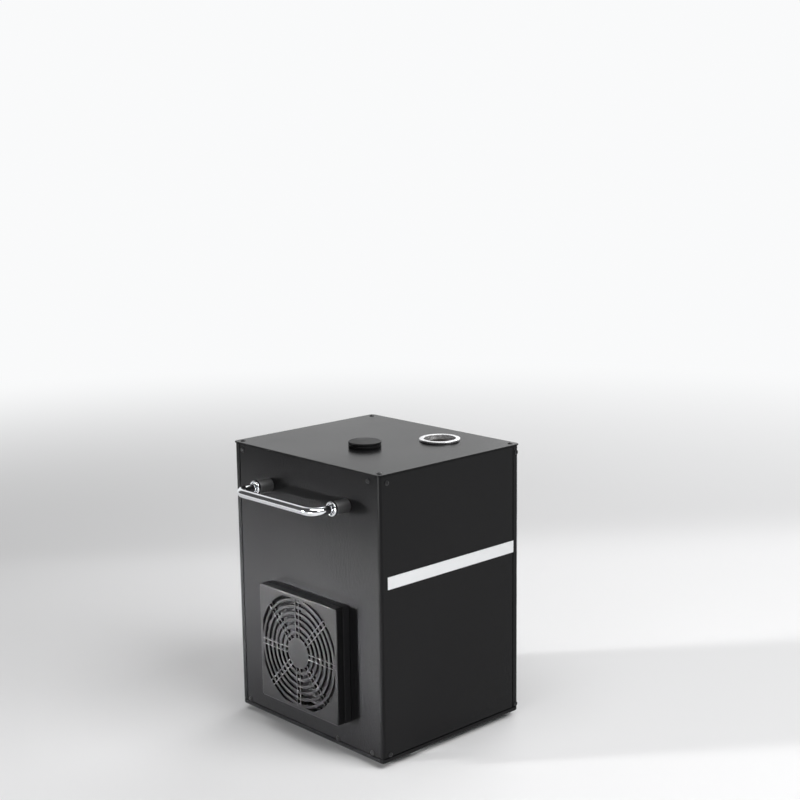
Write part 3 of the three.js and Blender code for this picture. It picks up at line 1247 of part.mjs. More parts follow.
// Power inlet: a flanged shell with three blades in its hollow
const inletTop = FIT + INLET_PLATE;
const inletFloor = inletTop - INLET_DEPTH + 2 * INLET_WALL;
function inletBlade(u, v) {
  const halfThickness = INLET_BLADE_THICKNESS / 2;
  const halfWidth = INLET_BLADE_WIDTH / 2;
  const root = inletFloor - INLET_WALL;
  return block(u - halfThickness, u + halfThickness, v - halfWidth, v + halfWidth, root, -SHEET);
}
const shellWidth = INLET_WIDTH - 2 * FIT;
const shellHeight = INLET_HEIGHT - 2 * FIT;
const hollowWidth = shellWidth - 2 * INLET_WALL;
const hollowHeight = shellHeight - 2 * INLET_WALL;
piece('power_inlet', rearFrame, blackPlastic, at(join(
  cut(
    join(
      plate(INLET_WIDTH + 2 * INLET_EAR, INLET_HEIGHT + INLET_WALL, INLET_CORNER, FIT, inletTop),
      plate(shellWidth, shellHeight, INLET_CORNER, inletTop - INLET_DEPTH, inletTop),
    ),
    plate(hollowWidth, hollowHeight, INLET_CORNER, inletFloor, inletTop + OVERRUN),
  ),
  inletBlade(-INLET_BLADE_SPREAD, -INLET_BLADE_DROP),
  inletBlade(INLET_BLADE_SPREAD, -INLET_BLADE_DROP),
  inletBlade(0, INLET_BLADE_DROP),
), INLET_U, powerRise));

// Power switch: a framed well, and a rocker with rounded ends on its pin
const bezelTop = FIT + SWITCH_FRAME_PLATE;
piece('switch_frame', rearFrame, blackPlastic, at(cut(
  join(
    plate(SWITCH_FRAME_WIDTH, SWITCH_FRAME_HEIGHT, FIT + SWITCH_FRAME_PLATE / 2, FIT, bezelTop),
    plate(switchBodyWidth, switchBodyHeight, FIT, bezelTop - SWITCH_BODY_DEPTH, bezelTop),
  ),
  plate(wellWidth, wellHeight, FIT, -SWITCH_WELL, bezelTop + OVERRUN),
  rod(ROCKER_PIN + FIT, -wellWidth / 2 - ROCKER_PIN_GRIP, wellWidth / 2 + ROCKER_PIN_GRIP, SMALL_SIDES)
    .rotateY(Math.PI / 2),
), 0, powerRise));

const rocker = new THREE.Group();
rocker.position.set(0, powerRise, 0);
rocker.rotation.x = -ROCKER_TILT;
rearFrame.add(rocker);
function rockerShape() {
  const shape = new THREE.Shape();
  shape.absarc(0, 0, ROCKER_RADIUS, -ROCKER_DROP_ANGLE, ROCKER_RISE_ANGLE, false);
  shape.lineTo(0, ROCKER_DIP);
  shape.absarc(0, 0, ROCKER_RADIUS, Math.PI - ROCKER_RISE_ANGLE, Math.PI + ROCKER_DROP_ANGLE, false);
  return shape;
}
const rockerHalf = wellWidth / 2 - FIT;
const rockerPinReach = wellWidth / 2 + ROCKER_PIN_GRIP - FIT;
const rockerTurn = new THREE.Matrix4().makeBasis(toRear, new THREE.Vector3(0, 0, 1), toRight);
piece('switch_rocker', rocker, redPlastic, join(
  slab(rockerShape(), -rockerHalf, rockerHalf, ROUND_ARC_STEPS),
  rod(ROCKER_PIN, -rockerPinReach, rockerPinReach, SMALL_SIDES),
).applyMatrix4(rockerTurn));

// Fuse holder and its screwed carrier
const fuseTop = FIT + FUSE_FLANGE;
const carrierBase = fuseTop + FIT;
const carrierTop = carrierBase + FUSE_CAP;
piece('fuse_holder', rearFrame, blackPlastic, at(cut(
  join(rod(FUSE_FLANGE_RADIUS, FIT, fuseTop), rod(FUSE_BODY_RADIUS, fuseTop - FUSE_BODY_DEPTH, fuseTop)),
  rod(FUSE_BORE, fuseTop - FUSE_BODY_DEPTH + FUSE_FLANGE, fuseTop + OVERRUN),
), FUSE_U, powerRise));
piece('fuse_carrier', rearFrame, blackPlastic, at(cut(
  join(
    rod(FUSE_CAP_RADIUS, carrierBase, carrierTop),
    rod(FUSE_BORE - FIT, carrierBase - FUSE_ROD_LENGTH, carrierTop - FUSE_CAP / 2),
  ),
  block(-FUSE_CAP_RADIUS, FUSE_CAP_RADIUS, -FUSE_SLOT_WIDTH / 2, FUSE_SLOT_WIDTH / 2,
    carrierTop - FUSE_SLOT_DEPTH, carrierTop + OVERRUN),
), FUSE_U, powerRise));

// The origin is the middle of the part's base: the rear pieces reach further than the front
const frontReach = CASE_DEPTH / 2 + TOP_OVERHANG;
const rearReach = CASE_DEPTH / 2 + carrierTop;
machine.position.y = (frontReach - rearReach) / 2;

export default machine;
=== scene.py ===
import math

import bmesh
import bpy
import numpy as np
from mathutils import Matrix, Vector
from mathutils.geometry import tessellate_polygon


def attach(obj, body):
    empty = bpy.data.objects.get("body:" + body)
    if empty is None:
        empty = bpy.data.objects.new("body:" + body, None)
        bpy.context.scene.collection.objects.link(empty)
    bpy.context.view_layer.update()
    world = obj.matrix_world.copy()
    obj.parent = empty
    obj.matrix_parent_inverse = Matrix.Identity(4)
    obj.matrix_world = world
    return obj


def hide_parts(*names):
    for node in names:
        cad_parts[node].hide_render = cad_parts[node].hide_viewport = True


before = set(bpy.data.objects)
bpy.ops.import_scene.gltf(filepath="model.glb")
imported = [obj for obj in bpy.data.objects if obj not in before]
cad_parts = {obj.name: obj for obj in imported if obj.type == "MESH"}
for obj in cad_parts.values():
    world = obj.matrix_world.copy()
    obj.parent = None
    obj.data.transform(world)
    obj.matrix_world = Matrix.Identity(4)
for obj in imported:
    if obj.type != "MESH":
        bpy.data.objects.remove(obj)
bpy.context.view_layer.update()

# Camera. It stands off the corner between the guard side and the front, a little above the top plate, and
# is rolled by less than a degree, as the photograph is.
CAMERA_AIM = Vector((0.0789, 0.0418, 0.3328))
CAMERA_DISTANCE = 1.6332
LENS_LENGTH = 65.63
SENSOR_WIDTH = 36
bearing, height_angle, roll = (math.radians(angle) for angle in (-43.137, 10.708, -0.724))
back = Vector((
    math.sin(bearing) * math.cos(height_angle), -math.cos(bearing) * math.cos(height_angle), math.sin(height_angle)))
level = Vector((math.cos(bearing), math.sin(bearing), 0))
upright = back.cross(level)
across = level * math.cos(roll) + upright * math.sin(roll)
above = upright * math.cos(roll) - level * math.sin(roll)
camera_data = bpy.data.cameras.new("camera")
camera_data.lens = LENS_LENGTH
camera_data.sensor_width = SENSOR_WIDTH
camera = bpy.data.objects.new("camera", camera_data)
camera.matrix_world = Matrix.Translation(CAMERA_AIM + back * CAMERA_DISTANCE) @ Matrix(
    (across, above, back)).transposed().to_4x4()
bpy.context.scene.collection.objects.link(camera)
bpy.context.scene.camera = camera

# Base tray. Folded steel sheet with a powder coat: a floor, a lip that shows under the walls, and a flange
# that stands behind them. The fold at the floor leaves a soft lower edge, and the lip's own edge is cut.
MM = 0.001
WELD = 0.002
HOLD = 0.6
CASE_SIDE = 100
CASE_FRONT = -118
CASE_BACK = 112
CASE_MIDDLE = (CASE_FRONT + CASE_BACK) / 2
CASE_HALF_DEPTH = (CASE_BACK - CASE_FRONT) / 2
FOLD_RADIUS = 4
SHEET = 1.5
CUT_EDGE = 0.4
FLANGE_GAP = 0.3
FLANGE_OUTER = SHEET + FLANGE_GAP
FLANGE_INNER = FLANGE_OUTER + SHEET
TRAY_BASE = 6
TRAY_FOLD = 2
LIP_TOP = 11
TRAY_FLANGE_TOP = 22


def unit(angle):
    return np.stack([np.cos(angle), np.sin(angle)], -1)


def rounded(corners, steps=6, hold=0, closed=True):
    """An outline from corners of (x, y, radius): each becomes an arc that touches both its sides.

    Gives the points and, to the right of the way round, the normals. An arc of radius r on a corner that turns
    by t starts r tan(t / 2) before the corner. Held corners have one more point on each side, so that the
    straight runs stay flat when shaded."""
    corners, radii = np.split(np.asarray(corners, float), [2], 1)
    before = corners - np.roll(corners, 1, 0)
    after = np.roll(corners, -1, 0) - corners
    if not closed:
        before[0], after[-1] = after[0], before[-1]
    before = before / np.linalg.norm(before, axis=1, keepdims=True)
    after = after / np.linalg.norm(after, axis=1, keepdims=True)
    turn = np.arctan2(before[:, 0] * after[:, 1] - before[:, 1] * after[:, 0], (before * after).sum(1))[:, None]
    normal = unit(np.arctan2(-before[:, :1], before[:, 1:]) + turn * np.linspace(0, 1, steps + 1))
    signed = np.sign(turn) * radii
    first = corners - before * radii * np.tan(np.abs(turn) / 2)
    centre = first - signed * normal[:, 0]
    points = centre[:, None] + signed[:, None] * normal
    if hold:
        points = np.concatenate([
            points[:, :1] - hold * before[:, None], points, points[:, -1:] + hold * after[:, None]], 1)
        normal = np.concatenate([normal[:, :1], normal, normal[:, -1:]], 1)
    if not closed:
        points[0], points[-1] = corners[0], corners[-1]
    return points.reshape(-1, 2), normal.reshape(-1, 2)


def rectangle(half_width, half_height, radius, steps=6, hold=0):
    """A rounded rectangle about the origin, anticlockwise."""
    return rounded([(side * half_width, rise * half_height, radius)
                    for side, rise in ((-1, -1), (1, -1), (1, 1), (-1, 1))], steps, hold)


def shifted(outline, u, v):
    return outline[0] + np.array([u, v], float), outline[1]


def grid_quads(rows, columns):
    """The quads between neighbouring rows of points, whose last column joins the first."""
    row = np.arange(rows - 1)[:, None] * columns
    column = np.arange(columns)[None]
    beside = (column + 1) % columns
    corners = (row + column, row + beside, row + columns + beside, row + columns + column)
    return np.stack(corners, -1).reshape(-1, 4)


def carried(outline, profile):
    """A profile carried round an outline: point (i, j) is outline point j, moved along its normal by the
    profile's offset i, at the profile's height i."""
    points, normals = outline
    offset, height = np.asarray(profile, float).T[:, :, None, None]
    flat = points + offset * normals
    grid = np.concatenate([flat, np.broadcast_to(height, flat.shape[:2] + (1,))], -1)
    return grid.reshape(-1, 3), grid_quads(len(profile), len(points))


def filled(height, outline, offset=0, holes=(), widen=0):
    """The flat face inside an outline that is moved along its normals, less the holes, each widened."""
    loops = [outline[0] + offset * outline[1], *[points + widen * normals for points, normals in holes]]
    triangles = tessellate_polygon([loop.tolist() for loop in loops])
    flat = np.concatenate(loops)
    return np.column_stack([flat, np.full(len(flat), float(height))]), np.asarray(triangles, int)


def edge_arc(height, radius, steps=2, wall=-1):
    """Profile rows over a softened edge: a quarter turn inwards, from the wall to the flat face at that height.
    The wall is below the face, or above it where wall is 1."""
    angle = np.linspace(0, math.pi / 2, steps + 1)
    return np.column_stack([radius * (np.cos(angle) - 1), height + wall * radius * (1 - np.sin(angle))])


def edge_rows(height, radius, steps=3, wall=-1):
    """The same rows, with one more on the wall and on the face, HOLD away, to keep both flat when shaded."""
    return np.concatenate([[(0, height + wall * (radius + HOLD))], edge_arc(height, radius, steps, wall),
                           [(-radius - HOLD, height)]])


def build(name, sheets, finish, crease=35):
    """One object from sheets of (points in millimetres, faces), welded where they meet, faces outwards. Faces
    that meet at more than the crease angle keep a sharp edge."""
    starts = np.cumsum([0] + [len(points) for points, _ in sheets])
    corners = np.concatenate([points for points, _ in sheets]) * MM
    mesh = bpy.data.meshes.new(name)
    mesh.from_pydata(corners.tolist(), [], [
        face for (_, faces), start in zip(sheets, starts) for face in (faces + start).tolist()])
    shell = bmesh.new()
    shell.from_mesh(mesh)
    bmesh.ops.remove_doubles(shell, verts=shell.verts, dist=WELD * MM)
    bmesh.ops.recalc_face_normals(shell, faces=shell.faces)
    shell.to_mesh(mesh)
    shell.free()
    mesh.shade_smooth()
    mesh.set_sharp_from_angle(angle=math.radians(crease))
    mesh.materials.append(finish.material)
    piece = bpy.data.objects.new(name, mesh)
    bpy.context.scene.collection.objects.link(piece)
    return piece


def lay(name, sheets, finish, *stands_for, body="case", slot=None, crease=35, even=True):
    """A piece of the part, on its body; the slot argument is not used. Even shading lets the largest face at
    each point set the normal, so that flat faces stay flat up to their softened edges."""
    piece = build(name, sheets, finish, crease)
    if even:
        shading = piece.modifiers.new("even_shading", "WEIGHTED_NORMAL")
        shading.keep_sharp = True
        shading.weight = 100
    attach(piece, body)
    if stands_for:
        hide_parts(*stands_for)
    return piece


class Nodes:
    """A tree of shader nodes. Values for a node's inputs are plain ones, or other nodes' outputs to link."""

    def __init__(self, tree):
        self.tree = tree

    def set(self, node, values):
        for socket, value in values.items():
            place = node.inputs[socket]
            if isinstance(value, bpy.types.NodeSocket):
                self.tree.links.new(value, place)
            else:
                place.default_value = (*value, 1) if place.type == "RGBA" else value

    def node(self, kind, values, output=0, **settings):
        node = self.tree.nodes.new(kind)
        for setting, value in settings.items():
            setattr(node, setting, value)
        self.set(node, values)
        return node.outputs[output]

    def calculate(self, operation, first, second):
        return self.node("ShaderNodeMath", {0: first, 1: second}, operation=operation)

    def between(self, factor, low, high, from_low=0.3, from_high=0.7, **settings):
        """A number that runs from low to high while the factor runs between its two limits."""
        return self.node("ShaderNodeMapRange", {
            "Value": factor, "From Min": from_low, "From Max": from_high, "To Min": low, "To Max": high}, **settings)


class Finish(Nodes):
    """A material with one shader, fed by textures on Object coordinates. Its slot is kept but not used."""

    def __init__(self, name, slot=None, colour=(0.5, 0.5, 0.5), roughness=0.5, metallic=0, specular=0.5, ior=1.5):
        self.material = bpy.data.materials.new(name)
        self.material.use_nodes = True
        super().__init__(self.material.node_tree)
        self.slot = slot
        self.relief = {}
        self.place = self.node("ShaderNodeTexCoord", {}, "Object")
        self.shader = self.tree.nodes["Principled BSDF"]
        self.set(self.shader, {"Base Color": colour, "Roughness": roughness, "Metallic": metallic,
                               "Specular IOR Level": specular, "IOR": ior})

    def pattern(self, kind, values, output=0, stretch=(1, 1, 1), turn=(0, 0, 0)):
        """A texture whose scale is in cells to the metre; stretch draws it out along an axis."""
        place = self.node("ShaderNodeMapping", {"Vector": self.place, "Scale": stretch, "Rotation": turn})
        return self.node(kind, {"Vector": place, **values}, output)

    def noise(self, scale, detail, **rest):
        return self.pattern("ShaderNodeTexNoise", {"Scale": scale, "Detail": detail}, **rest)

    def cells(self, scale, **rest):
        return self.pattern("ShaderNodeTexVoronoi", {"Scale": scale}, **rest)

    def texture(self, source):
        """A texture, or the noise that a scale and a detail stand for."""
        return self.noise(*source) if isinstance(source, tuple) else source

    def bump(self, source, strength, depth):
        """Relief of that depth in metres, on top of what the finish has."""
        values = {"Height": self.texture(source), "Strength": strength, "Distance": depth, **self.relief}
        self.relief = {"Normal": self.node("ShaderNodeBump", values)}
        self.set(self.shader, self.relief)

    def colour(self, source, first, second):
        blend = self.node("ShaderNodeMix", {0: self.texture(source), 6: first, 7: second}, 2, data_type="RGBA")
        self.set(self.shader, {"Base Color": blend})

    def rough(self, source, low, high):
        self.set(self.shader, {"Roughness": self.between(self.texture(source), low, high)})


# Powder coat: an orange-peel skin over fine grit, a little glossier in broad patches where hands have been
coat = Finish("black_powder_coat", "black_coat", specular=0.13)
coat.bump((420, 1), 0.1, 0.0004)
coat.bump((2600, 2), 0.16, 0.0001)
coat.rough((9, 4), 0.2, 0.26)
coat.colour((1800, 2), (0.006, 0.006, 0.0064), (0.009, 0.009, 0.0096))

case_plan = shifted(rectangle(CASE_SIDE, CASE_HALF_DEPTH, FOLD_RADIUS, 8, HOLD), 0, CASE_MIDDLE)
lip_profile = [
    *edge_rows(TRAY_BASE, TRAY_FOLD, 5, wall=1)[::-1],
    *edge_rows(LIP_TOP, CUT_EDGE),
    (-FLANGE_OUTER, LIP_TOP),
    (-FLANGE_OUTER, TRAY_FLANGE_TOP),
    (-FLANGE_INNER, TRAY_FLANGE_TOP),
    (-FLANGE_INNER, TRAY_BASE + SHEET),
]
lay("tray", [
    carried(case_plan, lip_profile),
    filled(TRAY_BASE, case_plan, -TRAY_FOLD - HOLD),
    filled(TRAY_BASE + SHEET, case_plan, -FLANGE_INNER),
], coat, "base_tray")

# Feet. Four moulded rubber feet, slightly tapered, each held by a screw whose recess shows from below.
# The rubber is matt, with dust in its grain.
FOOT_PLACES = {"front_left": (-80, -98), "front_right": (80, -98), "rear_left": (-80, 92), "rear_right": (80, 92)}
FOOT_SECTION = [(0, 2.5, 0), (3.5, 2.5, 0.3), (3.5, 0, 0.5), (8, 0, 0.8), (9, 5.7, 0.3), (0, 5.7, 0)]


def full_turn(sides):
    return np.arange(sides) * 2 * math.pi / sides


def turned(section, sides=48, steps=3, closed=False):
    """A section of (radius, height, rounding) corners, turned about the upright axis: point (i, j) stands at
    section point i and angle 2 pi j / sides. Gives a shape, which is a list of sheets."""
    points, _ = rounded(section, steps, closed=closed)
    if closed:
        points = np.concatenate([points, points[:1]])
    angle = full_turn(sides)
    grid = np.stack([
        points[:, :1] * np.cos(angle), points[:, :1] * np.sin(angle), np.repeat(points[:, 1:], sides, 1)], -1)
    return [(grid.reshape(-1, 3), grid_quads(len(points), sides))]


def moved(shape, x=0, y=0, z=0):
    return [(points + np.array([x, y, z], float), faces) for points, faces in shape]


rubber = Finish("foot_rubber", "rubber", specular=0.3)
rubber.colour((160, 4), (0.012, 0.012, 0.013), (0.03, 0.029, 0.028))
rubber.bump((1500, 3), 0.35, 0.0002)
rubber.rough((60, 3), 0.75, 0.95)
for place, (x, y) in FOOT_PLACES.items():
    lay(f"rubber_foot_{place}", moved(turned(FOOT_SECTION), x, y), rubber, f"foot_{place}")

# Inner bracket, saddle and power supply. Zinc-plated sheet, left as folded: the plating has large soft spangles
# and fine rolling lines. The supply's cage is the same stock.


def dress(finish, *names):
    """A carried-over solid keeps its mesh and gets a finish."""
    for name in names:
        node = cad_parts[name]
        if not node.material_slots:
            node.data.materials.append(finish.material)
        for place in node.material_slots:
            place.material = finish.material


zinc = Finish("zinc_plate", "zinc_plate", metallic=0.9)
spangle = zinc.cells(90, output=1, stretch=(1, 1, 0.6))
zinc.colour(zinc.between(spangle, 0, 1, 0, 1), (0.44, 0.45, 0.48), (0.62, 0.62, 0.63))
zinc.rough(zinc.noise(700, 3, stretch=(0.1, 1, 1)), 0.28, 0.5)
zinc.bump(zinc.noise(1500, 2, stretch=(0.08, 1, 1)), 0.12, 0.0001)
dress(zinc, "shelf_bracket", "barrel_saddle", "power_supply", "feed_motor", "blower_motor", "feed_barrel",
      "hopper_funnel")

# Blower, fan and other moulded pieces. Black moulded plastic with a fine spark-eroded grain.
plastic = Finish("black_moulded_plastic", "black_plastic", specular=0.12)
plastic.bump(plastic.cells(2400), 0.2, 0.0001)
plastic.colour((250, 3), (0.01, 0.01, 0.011), (0.016, 0.016, 0.017))
plastic.rough((40, 3), 0.42, 0.56)
dress(plastic, "blower_housing", "blower_impeller", "fan_frame", "fan_rotor")

# Air pipe, heated core, nozzle tube and feed screw. Turned steel: rings from the lathe tool, and a faintly
# warm tint in broad patches.
steel = Finish("turned_steel", metallic=1)
rings = steel.noise(1400, 2, stretch=(0.02, 0.02, 1))
steel.bump(rings, 0.2, 0.0001)
steel.rough(rings, 0.22, 0.42)
steel.colour(steel.noise(25, 3, stretch=(1, 1, 2)), (0.47, 0.45, 0.43), (0.58, 0.57, 0.57))
dress(steel, "air_pipe", "heater_core", "feed_auger", "auger_coupling", "drive_shaft", "feed_gearbox", "nozzle_tube")

# Heating coil and its sleeve. Bare copper-coloured wire, dulled by heat, in a pressed mineral-fibre sleeve.
copper = Finish("heated_copper", metallic=1)
copper.colour((120, 4), (0.4, 0.17, 0.1), (0.66, 0.32, 0.18))
copper.rough((300, 3), 0.25, 0.5)
dress(copper, "heater_coil")
insulation = Finish("mineral_fibre", roughness=0.95)
insulation.colour((350, 5), (0.55, 0.5, 0.41), (0.75, 0.71, 0.62))
insulation.bump(insulation.noise(900, 4, stretch=(1, 1, 3)), 0.6, 0.0006)
dress(insulation, "heater_sleeve")

# Circuit boards. Green glass-fibre boards with copper tracks under the lacquer.
board = Finish("circuit_board")
tracks = board.pattern("ShaderNodeTexBrick", {
    "Scale": 90, "Color1": (0.015, 0.11, 0.045), "Color2": (0.02, 0.15, 0.06), "Mortar": (0.06, 0.26, 0.1),
    "Mortar Size": 0.03}, turn=(math.pi / 2, 0, 0))
board.set(board.shader, {"Base Color": tracks})
board.bump((900, 2), 0.15, 0.0001)
board.rough((60, 2), 0.3, 0.45)
dress(board, "control_board", "display_board")

# Rear shell. One powder-coated sheet folded round the right and rear faces: narrow returns show at the outer
# corners, and a flange behind each cover edge closes the seam. Air slots and the panel's openings are punched.
FRONT, REAR, LEFT, RIGHT = (0, -1, 0), (0, 1, 0), (-1, 0, 0), (1, 0, 0)
WALL_BASE = 12
WALL_TOP = 302.2
RETURN_WIDTH = 8
INNER_X = CASE_SIDE - SHEET
INNER_FOLD = FOLD_RADIUS - SHEET
SHELL_X = CASE_SIDE - RETURN_WIDTH
SHELL_Y = CASE_BACK - RETURN_WIDTH
LAP_BASE = 22.3
LAP_TOP = 293.2
LAPS = [(0.5, 0), (FLANGE_OUTER, 11)]
HOLE_SOFT = 0.3
VENT_LENGTH = 42
VENT_WIDTH = 3.2
VENT_PLACES = [(-9 + side * 26, 62 + 10 * row) for row in range(6) for side in (-1, 1)]
DISPLAY_Z, BUTTON_Z, SIGNAL_Z, POWER_Z = 250, 220, 156, 68
BUTTON_U = [-27, -9, 9, 27]
SIGNAL_U = 30
INLET_U = 45
FUSE_U = -36
DISPLAY_OPENING = (28, 13)
BUTTON_OPENING = (5.5, 3.5)
INLET_OPENING = (15, 13)
SWITCH_OPENING = (9.3, 12.8)
SIGNAL_OPENING = 11.9
FUSE_OPENING = 6.5


def on_face(shape, outward, middle):
    """Carries a shape drawn in (right, up, outwards) to a face of the case, as seen from outside."""
    up = np.array([0.0, 0.0, 1.0])
    axes = np.stack([np.cross(up, outward), up, outward])
    return [(points @ axes + middle, faces) for points, faces in shape]


def circle(radius, sides=48):
    normal = unit(full_turn(sides))
    return radius * normal, normal


def both_edges(base, top, soft, base_steps, top_steps):
    """Profile rows up a wall, over a softened edge at its base and one at its top."""
    return np.concatenate([edge_arc(base, soft, base_steps, wall=1)[::-1], edge_arc(top, soft, top_steps)])


def block(outline, base, top, soft=0, steps=0):
    """A closed solid between two heights of an outline, with its edges softened."""
    return [carried(outline, both_edges(base, top, soft, steps, steps)),
            filled(base, outline, -soft), filled(top, outline, -soft)]


def upright_box(x0, x1, y0, y1):
    """A plain closed box for a hidden flange."""
    return block(rounded([(x0, y0, 0), (x1, y0, 0), (x1, y1, 0), (x0, y1, 0)], 1), LAP_BASE, LAP_TOP)


def folded_sheet(corners, windows=()):
    """A sheet that stands on its plan outline, from the wall's base to its top, with softened cut edges.

    windows lists (outer and inner corner numbers, outward, middle, holes): the straight runs of the plan that
    start at those corners are filled as flat faces with holes, whose walls join the two."""
    steps = 8
    per_corner = steps + 3
    plan = rounded(corners, steps, HOLD)
    count = len(plan[0])
    low = edge_rows(WALL_BASE, CUT_EDGE, wall=1)[::-1][1:]
    high = edge_rows(WALL_TOP, CUT_EDGE)[:-1]
    points, quads = carried(plan, np.concatenate([low, high]))
    keep = np.ones(len(quads), bool)
    wall_start = (len(low) - 1) * count
    rim = edge_arc(0, HOLE_SOFT) * (-1, 1)
    hole_wall = np.concatenate([rim[::-1], (0, -SHEET) + rim * (1, -1)])
    shape = [filled(WALL_BASE, plan, -CUT_EDGE), filled(WALL_TOP, plan, -CUT_EDGE)]
    for outer, inner, outward, middle, holes in windows:
        faces = []
        for corner in (outer, inner):
            column = (corner + 1) * per_corner - 1
            keep[wall_start + column] = False
            ends = points[wall_start + np.array([column, (column + 1) % count])] - middle
            first, last = ends @ np.cross([0, 0, 1], outward)
            window = np.array([(first, low[-1, 1]), (last, low[-1, 1]), (last, high[0, 1]), (first, high[0, 1])])
            faces.append(filled(ends[0] @ outward, (window, 0), 0, holes, HOLE_SOFT))
        shape += on_face(faces + [carried(hole, hole_wall) for hole in holes], outward, middle)
    return shape + [(points, quads[keep])]


vent = rectangle(VENT_LENGTH / 2, VENT_WIDTH / 2, VENT_WIDTH / 2 - 0.001, 8)
vent_holes = [shifted(vent, u, v) for u, v in VENT_PLACES]
panel_holes = [shifted(opening, u, v) for opening, u, v in (
    (rectangle(*DISPLAY_OPENING, 2, 4), 0, DISPLAY_Z),
    *[(rectangle(*BUTTON_OPENING, 2, 4), u, BUTTON_Z) for u in BUTTON_U],
    *[(circle(SIGNAL_OPENING), u, SIGNAL_Z) for u in (-SIGNAL_U, SIGNAL_U)],
    (rectangle(*INLET_OPENING, 3, 4), INLET_U, POWER_Z),
    (rectangle(*SWITCH_OPENING, 0.3, 2), 0, POWER_Z),
    (circle(FUSE_OPENING), FUSE_U, POWER_Z),
)]
shell = folded_sheet([
    (SHELL_X, CASE_FRONT, CUT_EDGE), (CASE_SIDE, CASE_FRONT, FOLD_RADIUS),
    (CASE_SIDE, CASE_BACK, FOLD_RADIUS), (-CASE_SIDE, CASE_BACK, FOLD_RADIUS),
    (-CASE_SIDE, SHELL_Y, CUT_EDGE), (-INNER_X, SHELL_Y, CUT_EDGE),
    (-INNER_X, CASE_BACK - SHEET, INNER_FOLD), (INNER_X, CASE_BACK - SHEET, INNER_FOLD),
    (INNER_X, CASE_FRONT + SHEET, INNER_FOLD), (SHELL_X, CASE_FRONT + SHEET, CUT_EDGE),
], [
    (1, 7, RIGHT, (CASE_SIDE, 0, 0), vent_holes),
    (2, 6, REAR, (0, CASE_BACK, 0), panel_holes),
])
for depth, reach in LAPS:
    shell += upright_box(SHELL_X - reach, SHELL_X + SHEET, CASE_FRONT + depth, CASE_FRONT + FLANGE_INNER)
for depth, reach in LAPS:
    shell += upright_box(depth - CASE_SIDE, FLANGE_INNER - CASE_SIDE, SHELL_Y - reach, SHELL_Y + SHEET)
lay("shell_right_rear", shell, coat, "rear_shell")

# Front cover. One powder-coated sheet folded round the near corner, over the guard side and the front.
# Its two edges stop a millimetre short of the shell's returns.
SEAM = 1
COVER_X = SHELL_X - SEAM
COVER_Y = SHELL_Y - SEAM
lay("cover_left_front", folded_sheet([
    (-CASE_SIDE, COVER_Y, CUT_EDGE), (-CASE_SIDE, CASE_FRONT, FOLD_RADIUS),
    (COVER_X, CASE_FRONT, CUT_EDGE), (COVER_X, CASE_FRONT + SHEET, CUT_EDGE),
    (-INNER_X, CASE_FRONT + SHEET, INNER_FOLD), (-INNER_X, COVER_Y, CUT_EDGE),
]), coat, "front_cover")

# Top plate. A powder-coated lid that lies on the walls and stands a little proud of them, with a flange inside
# and two round holes, for the hopper's neck and the nozzle ring.
PLATE_BASE = 302.5
PLATE_TOP = 304
PLATE_EDGE = 0.5
PLATE_LOWER_EDGE = 0.3
PLATE_OVERHANG = 1.2
PLATE_FLANGE_BASE = PLATE_BASE - 9
HOPPER_PLACE = (-22, -11)
HOPPER_OPENING = 15.8
NOZZLE_PLACE = (53, -47)
NOZZLE_OPENING = 19.3
CUT_RIM = [(1, 0), (0, 1)]
ROUND_RIM = [(1, 0), (0.3, 0.3), (0, 1)]
FINE_RIM = [(1, 0), (0.55, 0.12), (0.12, 0.55), (0, 1)]


def hole_rows(top, floor, soft, rim=ROUND_RIM):
    """Profile rows over a hole's softened rim, which is given in shares of its width, and down to the floor."""
    return [(soft * aside, top - soft * down) for aside, down in rim] + [(0, floor)]


plate_plan = shifted(rectangle(
    CASE_SIDE + PLATE_OVERHANG, CASE_HALF_DEPTH + PLATE_OVERHANG, FOLD_RADIUS + PLATE_OVERHANG, 10, HOLD),
    0, CASE_MIDDLE)
plate_holes = [
    shifted(circle(HOPPER_OPENING, 64), *HOPPER_PLACE), shifted(circle(NOZZLE_OPENING, 64), *NOZZLE_PLACE)]
outer, inner = -PLATE_OVERHANG - FLANGE_OUTER, -PLATE_OVERHANG - FLANGE_INNER
plate_rows = [
    (outer, PLATE_BASE), *edge_arc(PLATE_BASE, PLATE_LOWER_EDGE, wall=1)[::-1],
    *edge_rows(PLATE_TOP, PLATE_EDGE, 4)[1:]]
flange_rows = [
    (outer, PLATE_BASE), (outer, PLATE_FLANGE_BASE), (inner, PLATE_FLANGE_BASE), (inner, PLATE_BASE)]
lay("lid_plate", [
    carried(plate_plan, plate_rows),
    carried(plate_plan, flange_rows),
    filled(PLATE_TOP, plate_plan, -PLATE_EDGE - HOLD, plate_holes, HOLE_SOFT),
    filled(PLATE_BASE, plate_plan, inner, plate_holes),
    *[carried(hole, hole_rows(PLATE_TOP, PLATE_BASE, HOLE_SOFT)) for hole in plate_holes],
], coat, "top_plate")

# Trim strip. Bright satin-brushed metal foil, glued across the front from near the bent corner to the seam.
# The brushing runs along it, and its edges are crisp. Like other pieces on the case, it starts ON_CASE from it.
ON_CASE = 0.3
STRIP_HALF = (90.85, 6.4)
STRIP_MIDDLE = (0.15, CASE_FRONT, 193.4)
STRIP_TOP = 0.9


def slab(half_width, half_height, base, top, radius, soft):
    """A closed slab, drawn in (right, up, outwards), with rounded corners and softened edges."""
    return block(rectangle(half_width, half_height, radius, 3), base, top, soft, 2)


